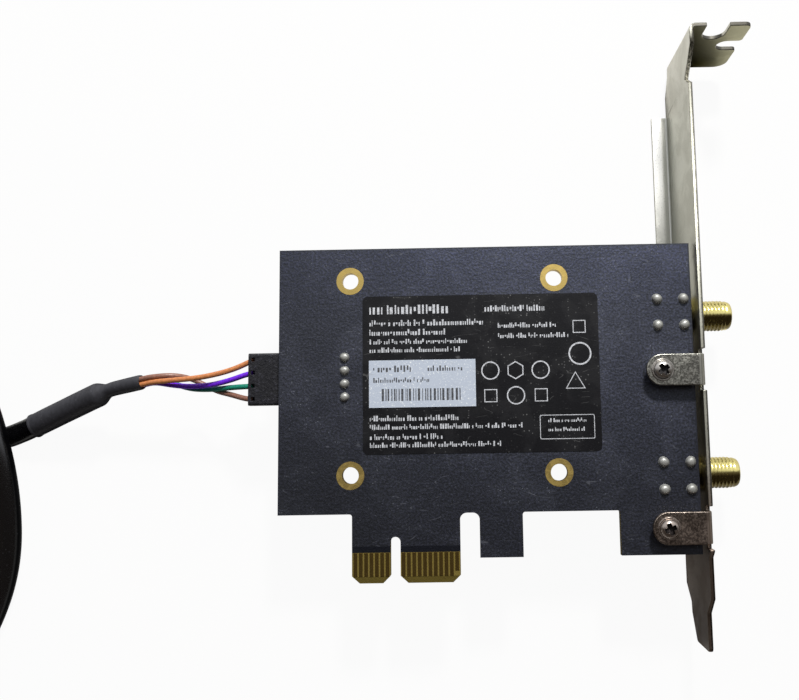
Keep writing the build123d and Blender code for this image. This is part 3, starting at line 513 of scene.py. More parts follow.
def jack_finish(colour):
    """Bright plating with fine flecks, darkened with painted shade in a band along the side facing the card's lower
    edge.
    """
    f = Finish("jack_gold", Metallic=1.0)
    toward_y = f.facing()[1]
    fine = f.use("fine_grain", Size=0.2)
    broad = f.use("broad_smudge", Size=4.0)["Mask"]
    tone = f.mix(f.times(broad, 0.25), colour, tint(colour, 0.6))
    tone = f.mix(f.times(fine["Fleck"], 0.3), tone, tint(colour, 0.45))
    # Painted shade: a dark band along the side that faces the card's lower edge
    band = f.times(f.span(toward_y, 0.06, -0.2), f.span(toward_y, -1.0, -0.9))
    painted_band_shade = f.times(band, f.span(fine["Height"], 0.3, 0.6, 1.0, 0.8))
    tone = f.mix(painted_band_shade, tone, (0.1, 0.08, 0.07), "MULTIPLY")
    f.put("Base Color", tone)
    f.put("Roughness", f.span(broad, 0.0, 1.0, 0.16, 0.26))
    f.bump((fine["Height"], 0.003))
    return f.material


def screw_finish(colour):
    """Bright zinc with dark flecks, with painted shade down in the tab screws' crosses and painted shade towards the
    card's lower edge.
    """
    f = Finish("screw_steel", Metallic=1.0)
    x, y, z = f.axes()
    fine = f.use("fine_grain", Size=0.2)
    broad = f.use("broad_smudge", Size=1.5)["Mask"]
    tone = f.mix(f.times(broad, 0.4), colour, tint(colour, 0.55))
    tone = f.mix(f.times(fine["Fleck"], 0.4), tone, tint(colour, 0.4))
    # Distance from the nearer tab screw's axis
    off_x = f.calc("SUBTRACT", x, TAB_X)
    off_y = f.calc("SUBTRACT", f.calc("ABSOLUTE", f.calc("SUBTRACT", y, 24.2)), 14.65)
    reach = f.calc("SQRT", f.calc("ADD", f.times(off_x, off_x), f.times(off_y, off_y)))
    # Painted shade down in the crosses, which are also rougher there
    recess_painted_shade = f.times(f.span(z, 3.66, 3.45), f.span(reach, 1.2, 1.1))
    tone = f.mix(recess_painted_shade, tone, (0.1, 0.1, 0.11), "MULTIPLY")
    # Painted shade: darker and browner towards the card's lower edge
    tone = f.mix(f.span(y, 27.0, 8.0), tone, (0.78, 0.7, 0.66), "MULTIPLY")
    f.put("Base Color", tone)
    f.put("Roughness", f.calc("ADD", f.span(broad, 0.0, 1.0, 0.26, 0.4), f.times(recess_painted_shade, 0.3)))
    f.bump((fine["Height"], 0.006))
    return f.material


def bracket_finish(colour):
    """Plated sheet: satin and drawn on the plate, pebbled on the tabs, with painted shade on the tabs, on the board
    side, under the lip, towards the lower end and in the notch beside the fold, a torn grey band along the sheared near
    edge, and a dull flange with painted light on its outer part and painted shade beside the plate."""
    f = Finish("bracket_sheet")
    x, y, z = f.axes()
    toward_x, toward_y, toward_z = f.facing()
    near = f.span(toward_z, 0.35, 0.6)
    pebble = f.use("fine_grain", Size=0.34)
    drawn = f.use("drawn_streaks", Size=0.5, Stretch=(1.0, 0.04, 1.0))["Height"]
    broad = f.use("broad_smudge", Size=6.0)["Mask"]
    tone = f.mix(f.times(broad, 0.3), colour, tint(colour, 0.72))
    tone = f.mix(f.times(pebble["Fleck"], 0.3), tone, tint(colour, 0.5))
    # The tabs: pebbled speckle, with painted shade making them darker than the plate
    tab = f.times(near, f.span(x, 57.8, 57.5), f.span(z, 0.8, 1.2))
    tab_speckle_and_shade = f.mix(f.span(pebble["Height"], 0.4, 0.66), tint(colour, 0.26), tint(colour, 0.8))
    tone = f.mix(tab, tone, tab_speckle_and_shade)
    # The plate's board side: painted shade, darker, and darkest and warm in the gap beside the board
    inner = f.span(toward_x, -0.5, -0.75)
    shade = f.mix(f.span(y, 90.0, 103.0), (0.72, 0.73, 0.71), (0.88, 0.88, 0.87))
    shade = f.mix(f.times(f.span(y, 50.0, 42.0), f.span(y, 2.0, 10.0)), shade, (0.42, 0.39, 0.33))
    tone = f.mix(inner, tone, shade, "MULTIPLY")
    # Painted shade: darker and browner towards the lower end, and darker again furthest down
    tone = f.mix(f.span(y, 27.0, 8.0), tone, (0.68, 0.55, 0.52), "MULTIPLY")
    tone = f.mix(f.span(y, 0.0, -9.0), tone, (0.62, 0.6, 0.58), "MULTIPLY")
    # Under the lip: painted shade, darkest in the fold's far corner, in the colour and in the reflections
    under = f.times(f.span(toward_y, -0.4, -0.7), f.span(y, 100.0, 101.0))
    out = f.calc("ADD", f.times(f.calc("SUBTRACT", x, 59.0), 0.0545),
                 f.times(f.calc("ADD", z, 13.4), 0.0217))
    lip_painted_shade = f.mix(f.span(out, 0.12, 0.96), (0.1, 0.095, 0.075), (0.76, 0.75, 0.62))
    tone = f.mix(under, tone, lip_painted_shade, "MULTIPLY")
    f.put("Specular Tint", f.mix(under, (1.0, 1.0, 1.0), lip_painted_shade))
    # The sheared edge: a thin dark line, a smooth band and a torn band
    across = f.calc("ADD", x, f.times(f.calc("SUBTRACT", pebble["Height"], 0.5), 0.3))
    edge = f.times(near, f.span(x, 57.9, 58.02))
    torn = f.mix(f.span(across, 58.46, 58.56), (0.66, 0.66, 0.64), (0.17, 0.165, 0.16))
    torn = f.mix(f.span(across, 58.16, 58.08), torn, (0.4, 0.4, 0.38))
    # Painted shade in the relief notch beside the fold: dark and mottled
    notch_painted_shade = f.times(f.span(y, 94.5, 95.3), f.span(y, 103.6, 102.0))
    torn = f.mix(notch_painted_shade, torn, f.mix(f.span(pebble["Height"], 0.4, 0.62), (0.05, 0.047, 0.04), (0.3, 0.29, 0.26)))
    tone = f.mix(edge, tone, torn, "MULTIPLY")
    # The flange: painted shade on its part beside the plate, and painted light on its outer part, fading downward,
    # where the plating is also dull and less metallic
    flange = f.times(near, f.span(z, -14.4, -14.7), f.span(x, 58.0, 57.9))
    pale = f.times(flange, f.span(x, 57.1, 56.2), f.span(y, 62.0, 88.0, 0.12, 1.0))
    tone = f.mix(f.calc("SUBTRACT", flange, pale), tone, (0.72, 0.73, 0.75), "MULTIPLY")
    tone = f.mix(pale, tone, f.mix(pebble["Fleck"], (0.93, 0.93, 0.91), (0.55, 0.56, 0.57)))
    f.put("Base Color", tone)
    f.put("Metallic", f.calc("SUBTRACT", 1.0, f.times(pale, 0.75)))
    rough = f.calc("ADD", f.span(broad, 0.0, 1.0, 0.3, 0.42), f.times(f.calc("MAXIMUM", edge, pale), 0.16))
    f.put("Roughness", rough)
    height = f.times(pebble["Height"], f.span(tab, 0.0, 1.0, 1.0, 3.6))
    f.bump((height, 0.012), (drawn, 0.004))
    return f.material


def mask_finish(settings):
    """Solder mask over the board: mottled blue-black with a fine pebbled surface, paler rubbed patches, specks and
    hair scratches, painted shade towards the bottom and the left, a painted bluish sheen towards the top edge, a
    smooth dark band over the contacts, and bare laminate on the tongue's end and the cut edges."""
    f = Finish("solder_mask", Specular_Tint=(0.84, 0.9, 1.0))
    x, y, z = f.axes()
    mask = tuple(settings.mask)
    fine = f.use("fine_grain", Size=0.42)
    coarse = f.use("fine_grain", Size=0.9)["Height"]
    rub = f.use("broad_smudge", Size=11.0)["Mask"]
    specks = f.use("loose_dust", Size=0.42, Share=0.3)["Mask"]
    hair = f.use("hair_scratches", Size=6.0, Width=0.0035)["Mask"]
    tone = f.mix(f.span(fine["Height"], 0.38, 0.68), tint(mask, 0.22), tint(mask, 1.75))
    tone = f.mix(rub, tone, (1.4, 1.4, 1.4), "MULTIPLY")
    # Painted shade towards the bottom, a painted bluish sheen towards the top edge and painted shade towards the left
    tone = f.mix(f.span(y, 40.0, 12.0), tone, (0.42, 0.41, 0.42), "MULTIPLY")
    tone = f.mix(f.span(y, 46.0, 63.0), tone, (0.95, 1.0, 1.3), "MULTIPLY")
    tone = f.mix(f.span(x, 14.0, -18.0), tone, (0.62, 0.6, 0.6), "MULTIPLY")
    speck_share = f.times(specks, f.span(rub, 0.2, 1.0, 0.15, 0.85))
    tone = f.mix(speck_share, tone, (0.2, 0.21, 0.25))
    tone = f.mix(f.times(hair, 0.4), tone, (0.13, 0.135, 0.16))
    rim = f.calc("MAXIMUM", f.calc("SUBTRACT", f.calc("ABSOLUTE", f.calc("SUBTRACT", x, 17.57)), 39.45),
                 f.calc("SUBTRACT", y, 63.22))
    tone = f.mix(f.span(rim, -0.1, 0.12), tone, tint(mask, 0.45))
    tongue = f.span(f.calc("ABSOLUTE", f.calc("SUBTRACT", x, 2.0)), 10.3, 10.2)
    band = f.times(f.span(y, 6.85, 6.75), tongue)
    tone = f.mix(band, tone, tint(mask, 0.22))
    weave = f.times(f.calc("SINE", f.times(x, 12.0)), f.calc("SINE", f.times(y, 12.0)))
    bare = f.mix(f.span(weave, -1.0, 1.0), tint(settings.laminate, 0.85), tint(settings.laminate, 1.15))
    tip = f.times(f.span(y, 5.68, 5.6), tongue)
    cut = f.span(f.calc("ABSOLUTE", f.facing()[2]), 0.55, 0.45)
    tone = f.mix(f.calc("MAXIMUM", tip, cut), tone, bare)
    f.put("Base Color", tone)
    f.put("Specular IOR Level", f.span(band, 0.0, 1.0, 0.72, 0.3))
    f.put("Roughness", f.calc("ADD", f.span(rub, 0.0, 1.0, 0.42, 0.5), f.times(fine["Fleck"], 0.1)))
    f.bump((fine["Height"], 0.045), (coarse, 0.04))
    return f.material


def film_finish(name, colour, rubbed, roughness=0.34):
    """Label film: smooth, with dust, hair scratches and rubbed patches."""
    f = Finish(name, Specular_IOR_Level=0.3)
    fine = f.use("fine_grain", Size=0.3)
    rub = f.use("broad_smudge", Size=7.0)["Mask"]
    specks = f.use("loose_dust", Size=0.5, Share=0.34)["Mask"]
    hair = f.use("hair_scratches", Size=5.0, Width=0.003)["Mask"]
    tone = f.mix(fine["Fleck"], tint(colour, 0.85), tint(colour, 1.5))
    tone = f.mix(f.times(specks, f.span(rub, 0.2, 0.9, 0.15, 1.0)), tone, rubbed)
    f.put("Base Color", f.mix(f.times(hair, 0.35), tone, rubbed))
    f.put("Roughness", f.span(rub, 0.0, 1.0, roughness, roughness + 0.16))
    f.bump((fine["Height"], 0.012))
    return f.material


def gold_ring_finish(settings):
    """Flat gold plating over copper: satin and a little uneven."""
    f = Finish("gold_plating", Metallic=1.0)
    gold = tuple(settings.gold)
    fine = f.use("fine_grain", Size=0.22)
    broad = f.use("broad_smudge", Size=1.6)["Mask"]
    tone = f.mix(broad, tint(gold, 0.95), tint(gold, 0.72))
    tone = f.mix(f.times(fine["Fleck"], 0.35), tone, tint(gold, 0.5))
    f.put("Base Color", tone)
    f.put("Roughness", f.span(broad, 0.0, 1.0, 0.36, 0.5))
    f.bump((fine["Height"], 0.006))
    return f.material


def contact_finish(settings):
    """Hard gold of the contacts: near mirror, browned, with rub marks from a slot's springs."""
    f = Finish("contact_gold", Metallic=1.0)
    gold = tuple(settings.gold)
    rubs = f.use("drawn_streaks", Size=0.14, Stretch=(1.0, 0.08, 1.0))["Height"]
    worn = f.use("fine_grain", Size=0.5)["Fleck"]
    tone = f.mix(f.span(rubs, 0.4, 0.65), tint(gold, 0.76), tint(gold, 0.6))
    f.put("Base Color", f.mix(f.times(worn, 0.6), tone, tint(gold, 0.9)))
    f.put("Roughness", f.span(rubs, 0.35, 0.65, 0.14, 0.24))
    f.bump((rubs, 0.002))
    return f.material


def cord_finish(name, colour, roughness, depth, pale, share, shine=0.5):
    """Extruded insulation: faint lines along it, dust and scuffs, on the piece's own (along, round) map, and shine on
    the surfaces that face up."""
    f = Finish(name, IOR=1.5)
    own = add(f.tree, "ShaderNodeUVMap", uv_map="along_round").outputs[0]
    drawn = add(f.tree, "ShaderNodeMapping", {"Vector": own, "Scale": (160.0, 9.0, 1.0)}).outputs[0]
    lines = add(f.tree, "ShaderNodeTexNoise", {"Vector": drawn, "Scale": 1.0, "Detail": 2.0}).outputs[0]
    fine = f.use("fine_grain", Size=0.25)
    dust = f.use("loose_dust", Size=0.6, Share=share)["Mask"]
    tone = f.mix(f.span(lines, 0.35, 0.65), tint(colour, 0.85), tint(colour, 1.15))
    f.put("Base Color", f.mix(f.times(dust, 0.55), tone, pale))
    f.put("Roughness", f.span(fine["Height"], 0.3, 0.7, roughness - 0.06, roughness + 0.08))
    f.put("Specular IOR Level", f.span(f.facing()[2], 0.3, 0.7, 0.02, shine))
    f.bump((lines, depth), (fine["Height"], depth * 0.4))
    return f.material


# Pieces

class CARD_OT_cable(bpy.types.Operator):
    """Build the header cable: four wires, shrunk sleeves and the jacketed cable in its loose oval coil"""
    bl_idname = "card.cable"
    bl_label = "Header cable"

    def execute(self, context):
        settings = context.scene.wireless_card.cable
        radius = settings.jacket_diameter * 500.0
        floor = FLOOR + radius
        lead = [SLEEVE_MOUTH, (-54.2, 37.95, -5.75), SLEEVE_NECK, (-66.9, 33.8, -9.7), SLEEVE_END,
                (-78.06, 29.5, -13.67), (-82.5, 27.8, floor), (-90.0, 27.2, floor), (-99.0, 29.6, floor),
                (-108.5, 31.0, floor), (-114.9, 27.2, floor), (-118.2, 19.6, floor)]
        # A spiral of oval turns: centre + (a cos t, (a + 13.5) sin t), where a grows by one step a turn. Each turn
        # rises over the lead in a long low hump at about 30 degrees past the right-hand side.
        t = np.radians(np.arange(186.0, 180.0 + 360.0 * settings.turns + 1.0, 22.0))
        wide = 14.6 + settings.turn_step * 1000.0 * (t - np.pi) / (2 * np.pi)
        sway = 0.5 * np.sin(1.7 * t) + 0.35 * np.sin(2.9 * t + 1.0)
        over = (np.degrees(t) - np.interp(wide, (14.7, 25.7), (40.0, 28.0)) + 180.0) % 360.0 - 180.0
        hump = 5.2 * np.cos(np.clip(over / 50.0, -1.0, 1.0) * np.pi / 2) ** 2
        turns = np.c_[-104.7 + (wide + 0.15 * sway) * np.cos(t), 11.3 + (wide + 13.5 + 0.15 * sway) * np.sin(t),
                      floor + hump]
        # The end of the outer turn climbs over the turns and comes down into the oval, to the far sleeve
        tail = [(-133.7, 11.0, -13.5), (-132.8, 1.0, -12.8), (-129.0, -7.5, -10.2), (-122.5, -12.6, -9.2),
                (-115.5, -13.6, -9.2), (-110.0, -10.4, -9.3), (-107.3, -5.4, -13.2), FAR_SLEEVE]
        line = route_line("cable_route", [*lead, *turns, *tail])
        along = lengths(line)

        neck = along[np.argmin(np.linalg.norm(line - SLEEVE_NECK, axis=1))]
        end = along[np.argmin(np.linalg.norm(line - SLEEVE_END, axis=1))]
        # The jacket starts inside the sleeve, past its cone
        jacket = line[along >= neck + 3.2]
        shell = Shell()
        shell.tube(jacket, radius, sides=28)
        jacket_finish = cord_finish("cable_jacket", tuple(settings.jacket), 0.22, 0.003, (0.05, 0.05, 0.055), 0.1, 0.9)
        cable = shell.build("header_cable", [jacket_finish])
        self.map_along(cable, jacket, 28)
        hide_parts("cable_lead", "cable_coil", "cable_tail")

        sleeve_finish = cord_finish("shrunk_sleeve", tuple(settings.sleeve), 0.58, 0.012, (0.1, 0.1, 0.11), 0.3, 0.45)
        sleeve = self.sleeve(line, along, neck, end, sleeve_finish)
        far = self.far_sleeve(sleeve_finish)
        wires = [self.wire(settings, colour) for colour in PIN_ROWS]
        return {"FINISHED"}

    def map_along(self, piece, path, sides):
        """Gives a tube its (along, round) map: distance along in metres over 0.1, and the share of a turn."""
        mesh = piece.data
        corner = values_of(mesh.loops, "vertex_index", kind=np.int32)
        rows = len(path)
        along = np.r_[np.repeat(lengths(path), sides), [0.0] * (len(mesh.vertices) - rows * sides)]
        turn = np.r_[np.tile(np.arange(sides) / sides, rows), [0.5] * (len(mesh.vertices) - rows * sides)]
        face = np.repeat(np.arange(len(mesh.polygons)), [len(p.vertices) for p in mesh.polygons])
        place = np.c_[along[corner] / 100.0, turn[corner]]
        last = np.zeros(len(mesh.polygons))
        np.maximum.at(last, face, place[:, 1])
        seam = (last[face] > 0.9) & (place[:, 1] < 0.1)
        place[seam, 1] += 1.0
        layer = mesh.uv_layers.new(name="along_round")
        layer.data.foreach_set("uv", place.astype(np.float32).ravel())

    def sleeve(self, line, along, neck, end, finish):
        """The sleeve's circle along the route: narrow, a short cone at the neck, wide, and a turned-in edge cut at a
        slant, shorter on its upper side."""
        part = line[along <= end]
        s = lengths(part)
        s_end = s[-1]
        s_fine = np.unique(np.r_[np.linspace(0, s_end, 90), neck + np.linspace(-1.4, 2.6, 34),
                                 s_end - np.linspace(0, 1, 9)])
        path = np.stack([np.interp(s_fine, s, part[:, k]) for k in range(3)], -1)
        a = np.linspace(0, 2 * np.pi, 36, endpoint=False)[None]
        grow = smooth_step(s_fine, neck - 0.4, neck + 2.6)[:, None]
        body = 1.43 + 0.04 * smooth_step(s_fine, 0.0, neck)[:, None] + 0.96 * grow
        crease = 0.06 * (1 - grow) * np.cos(2 * a + 0.5 + 0.25 * s_fine[:, None])
        crease = crease - 0.03 * np.exp(-((s_fine[:, None] - neck + 0.4 + 0.5 * np.sin(a)) / 0.9) ** 2)
        ripple = 0.006 * np.sin(0.9 * s_fine[:, None] + 2 * a) + 0.012 * np.sin(3 * a + 0.25 * s_fine[:, None])
        lip = 0.1 * smooth_step(s_fine, s_end - 0.55, s_end - 0.25) - 0.1 * smooth_step(s_fine, 0.4, 0.0)
        cut = -0.5 * (1.0 + np.sin(a))
        slide = cut * smooth_step(s_fine, s_end - 7.0, s_end - 0.6)[:, None]
        # Rows inside the mouth and round the wide end: (distance along, radius)
        mouth = np.array([(1.2, 1.15), (0.02, 1.2), (-0.05, 1.3)])
        wide = np.array([(0.06, 2.42), (0.08, 2.3), (0.0, 2.19), (-0.8, 2.19)])
        way = unit(np.gradient(part, axis=0))
        way = unit(np.stack([np.interp(s_fine, s, way[:, k]) for k in range(3)], -1))
        path = np.r_[path[0] + mouth[:, :1] * way[0], path, path[-1] + wide[:, :1] * way[-1]]
        reach = np.r_[np.repeat(mouth[:, 1:], 36, 1), body + crease + ripple + lip[:, None],
                      np.repeat(wide[:, 1:], 36, 1)]
        slide = np.r_[np.zeros((3, 36)), slide, np.repeat(cut, 4, 0)]
        way = np.r_[np.repeat(way[:1], 3, 0), way, np.repeat(way[-1:], 4, 0)]
        shell = Shell()
        shell.tube(path, reach, sides=36, slide=slide, way=way)
        piece = shell.build("cable_sleeve", [finish])
        self.flat_map(piece)
        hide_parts("heat_shrink_sleeve")
        return piece

    def flat_map(self, piece):
        """Gives a short piece an (along, round) map from its own X and Z."""
        mesh = piece.data
        co = values_of(mesh.vertices, "co", 3)[values_of(mesh.loops, "vertex_index", kind=np.int32)]
        layer = mesh.uv_layers.new(name="along_round")
        layer.data.foreach_set("uv", np.c_[co[:, 0] * 10.0, (co[:, 1] + co[:, 2]) * 100.0].astype(np.float32).ravel())

    def far_sleeve(self, finish):
        """The sleeve at the far plug: a circle along a straight run, its ends rounded over."""
        way = np.array((0.2272, 0.9739, 0.0))
        levels = np.array([(-0.02, 2.2), (0.0, 2.38), (0.12, 2.45), (5.0, 2.46), (9.6, 2.45), (9.9, 2.36),
                           (10.0, 2.2)])
        shell = Shell()
        shell.tube(FAR_SLEEVE + levels[:, :1] * way, np.repeat(levels[:, 1:], 32, 1), sides=32)
        piece = shell.build("far_cable_sleeve", [finish])
        self.flat_map(piece)
        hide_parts("far_sleeve")
        return piece

    def wire(self, settings, colour):
        """One insulated wire: a circle along its own route from the plug's terminal into the sleeve."""
        routes = {
            "orange": [(-28.9, 41.95, -3.0), (-31.6, 40.75, -2.95), (-35.2, 39.75, -2.9), (-39.5, 39.05, -3.0),
                       (-43.9, 38.8, -3.4)],
            "violet": [(-29.0, 39.75, -3.0), (-32.6, 38.55, -3.5), (-36.9, 37.7, -4.35), (-41.0, 37.55, -4.85),
                       (-44.6, 37.95, -5.1)],
            "green": [(-29.2, 37.3, -3.0), (-32.8, 37.2, -4.2), (-37.0, 36.95, -5.65), (-41.2, 37.15, -6.2),
                      (-44.8, 38.4, -6.15)],
            "brown": [(-29.2, 34.85, -3.0), (-32.6, 35.85, -4.5), (-35.9, 36.6, -6.4), (-38.8, 38.0, -7.55),
                      (-41.6, 39.4, -6.7), (-44.4, 39.9, -4.95)],
        }
        offsets = {"orange": (-0.54, 0.54), "violet": (-0.54, -0.54), "green": (0.54, -0.54), "brown": (0.54, 0.54)}
        way = np.array((-0.9645, -0.18, -0.1929))
        across = unit(np.array((way[1], -way[0], 0.0)))
        rise = np.cross(-way, across)
        last = np.array(SLEEVE_MOUTH) + offsets[colour][0] * across + offsets[colour][1] * rise
        points = [(-27.9, PIN_ROWS[colour], -3.0), *routes[colour], last - 2.4 * way, last, last + 1.1 * way]
        line = route_line(f"{colour}_route", points)
        shell = Shell()
        shell.tube(line, settings.wire_diameter * 500.0, sides=20)
        finish = cord_finish(f"wire_{colour}", tuple(getattr(settings, colour)), 0.36, 0.0008, (0.3, 0.28, 0.26), 0.06)
        piece = shell.build(f"{colour}_wire", [finish])
        self.map_along(piece, line, 20)
        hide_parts(f"wire_{colour}")
        return piece


class CARD_OT_jacks(bpy.types.Operator):
    """Build the two antenna jacks with their threads, bores and legs"""
    bl_idname = "card.jacks"
    bl_label = "Antenna jacks"

    def execute(self, context):
        settings = context.scene.wireless_card.metal
        finish = jack_finish(tuple(settings.jack))
        for name, y in JACK_ROWS.items():
            origin = np.array((0.0, y, JACK_Z))
            shell = Shell()
            self.barrel(shell, origin, settings)
            levels = [(49.79, 0.35), (49.84, 0.12), (50.0, 0.0), (56.5, 0.0), (56.72, 0.1), (56.79, 0.3)]
            outline = rounded_outline(7.0, 9.43, 0.35)
            shell.loft(outline, levels, origin + (0, 0, 1.215), ((0, 1, 0), (0, 0, 1), (1, 0, 0)))
            shell.turned([47.79, 47.79, 47.95, 49.9], [0.6, 1.1, 1.2, 1.2], origin, "x", 28)
            leg = rounded_outline(1.0, 1.0, 0.2, 3)
            levels = [(-1.7, 0.0), (0.3, 0.0), (0.4, 0.12)]
            for step_x in LEG_STEPS:
                for step_y in LEG_STEPS:
                    shell.loft(leg, levels, (JACK_X + step_x, y + step_y, 0.0), np.eye(3))
            piece = shell.build(f"{name}_antenna_jack", [finish], angle=32)
            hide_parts(f"{name}_jack_body")
        dress(finish, "upper_jack_pin", "lower_jack_pin", "module_standoff", "coax_receptacles", "coax_plugs")
        wax = plastic_finish("insulator_white", (0.78, 0.77, 0.72), roughness=0.4, grain=0.3, depth=0.003)
        dress(wax, "upper_jack_insulator", "lower_jack_insulator")
        return {"FINISHED"}

    def barrel(self, shell, origin, settings):
        """Shoulder, neck and threaded barrel turned about X. In the thread the radius dips by
        depth (1 - |2 frac(x / pitch - turn) - 1|)^0.8, faded at both ends, and the mouth leads into the bore."""
        pitch = settings.thread_pitch * 1000.0
        depth = settings.thread_depth * 1000.0
        sides = 72
        x = np.arange(59.35, 65.7, pitch / 9.0)
        turn = np.linspace(0, 1, sides, endpoint=False)
        wave = 1.0 - np.abs(2.0 * ((x[:, None] / pitch - turn[None]) % 1.0) - 1.0)
        fade = smooth_step(x, 59.6, 60.2) * smooth_step(x, 66.1, 65.2)
        crest = 3.06 - 0.16 * smooth_step(x, 64.6, 65.8)
        thread = (crest - depth * fade * wave.T ** 0.8).T
        before_x = np.array((56.79, 56.79, 56.95, 57.9, 58.03, 58.03, 58.89, 59.1, 59.25))
        before_r = np.array((0.9, 3.45, 3.6, 3.6, 3.5, 2.9, 2.9, 2.94, 3.0))
        after_x = np.array((65.85, 66.15, 66.4, 66.58, 66.67, 66.69, 66.62, 66.4, 64.8, 64.7))
        after_r = np.array((2.88, 2.79, 2.69, 2.57, 2.45, 2.32, 2.2, 2.12, 2.1, 2.1))
        along = np.r_[before_x, x, after_x]
        radius = np.r_[np.repeat(before_r[:, None], sides, 1), thread, np.repeat(after_r[:, None], sides, 1)]
        shell.turned(along, radius, origin, "x", sides)


class CARD_OT_solder(bpy.types.Operator):
    """Build the solder beads of the jacks' legs and the header's pins"""
    bl_idname = "card.solder"
    bl_label = "Solder beads"

    def execute(self, context):
        settings = context.scene.wireless_card.metal
        rng = np.random.default_rng(7)
        shell = Shell()
        beads = [((JACK_X + dx, y + dy), 1.03, 0.95) for y in JACK_ROWS.values() for dx in LEG_STEPS
                 for dy in LEG_STEPS]
        beads += [((PIN_X, y), 0.9, 0.8) for y in PIN_ROWS.values()]
        for (x, y), radius, height in beads:
            self.bead(shell, x, y, radius, height, rng)
        f = Finish("solder", Metallic=0.55)
        fine = f.use("fine_grain", Size=0.35)
        broad = f.use("broad_smudge", Size=0.9)["Mask"]
        solder = tuple(settings.solder)
        f.put("Base Color", f.mix(broad, solder, tint(solder, 0.8)))
        f.put("Roughness", f.span(broad, 0.0, 1.0, 0.38, 0.52))
        f.bump((fine["Height"], 0.02))
        piece = shell.build("solder_beads", [f.material])
        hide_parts("solder_joints")
        return {"FINISHED"}

    def bead(self, shell, x, y, radius, height, rng):
        """A wetted foot and a round crown: r = foot fillet below, then crown (1 - h^2.3)^(1/2), waved a little
        round the bead."""
        h = np.r_[0.0, 0.02, 0.05, 0.09, np.linspace(0.12, 1.0, 15)]
        crown = 0.93 * radius * np.sqrt(np.clip(1.0 - np.clip((h - 0.08) / 0.92, 0, 1) ** 2.3, 0, 1))
        foot = 0.07 * radius * np.exp(-h / 0.05)
        a = np.linspace(0, 2 * np.pi, 36, endpoint=False)
        wave = 1.0 + 0.03 * np.cos(2 * a + rng.uniform(0, 6)) + 0.02 * np.cos(3 * a + rng.uniform(0, 6))
        r = (crown + foot)[:-1, None] * wave[None]
        lean = rng.normal(0, 0.03, 2)
        rows = np.stack([x + r * np.cos(a) + lean[0] * h[:-1, None], y + r * np.sin(a) + lean[1] * h[:-1, None],
                         np.repeat((height * h[:-1])[:, None], 36, 1)], -1)
        shell.grid(rows, ring=True, caps=(0, -1))


class CARD_OT_screws(bpy.types.Operator):
    """Build the two cross-recessed screws of the bracket's tabs"""
    bl_idname = "card.screws"
    bl_label = "Bracket screws"

    def execute(self, context):
        shell = Shell()
        for y, turn in zip(TAB_ROWS, (35.0, 20.0)):
            self.screw(shell, TAB_X, y, math.radians(turn))
        steel = screw_finish((0.56, 0.53, 0.49))
        piece = shell.build("tab_screws", [steel], angle=40)
        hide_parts("bracket_screws")
        dress(steel, "bracket_nuts", "module_screw")
        return {"FINISHED"}

    def screw(self, shell, x, y, turn):
        """A head on the tab, whose height is a thin collar and a round crown less a cross: two bars across the
        centre, whose floor falls to a point and whose walls are steep ramps; below it the shank down to its end past
        the nut."""
        a = np.linspace(0, 2 * np.pi, 120, endpoint=False)[None]
        r = np.r_[np.linspace(0.02, 1.45, 64), np.linspace(1.48, 2.15, 30)][:, None]
        crown = 2.54 + 0.24 + 1.11 * np.clip(1.0 - (r / 1.82) ** 2.6, 0.0, 1.0) ** 0.55
        crown = crown - 0.2 * smooth_step(r, 2.02, 2.15) + 0 * a
        u = r * np.cos(a - turn)
        v = r * np.sin(a - turn)
        bar = 0.36 + 0.08 * (1.2 - r)
        one = smooth_step(np.abs(v), bar + 0.06, bar) * smooth_step(np.abs(u), 1.12, 0.98)
        two = smooth_step(np.abs(u), bar + 0.06, bar) * smooth_step(np.abs(v), 1.12, 0.98)
        deep = 1.25 - 0.4 * r
        top = crown - np.maximum(one, two) * deep
        head = np.stack([x + r * np.cos(a), y + r * np.sin(a), top], -1)
        shell.grid(head, ring=True, caps=(0,))
        shell.turned([float(top[-1].mean()), 2.58, 2.54, 2.54], [2.15, 2.15, 2.1, 1.2], (x, y, 0), "z", 120,
                     caps=(-1,))
        shell.turned([2.55, -3.9, -4.17, -4.17], [1.24, 1.24, 1.0, 0.6], (x, y, 0), "z", 40)


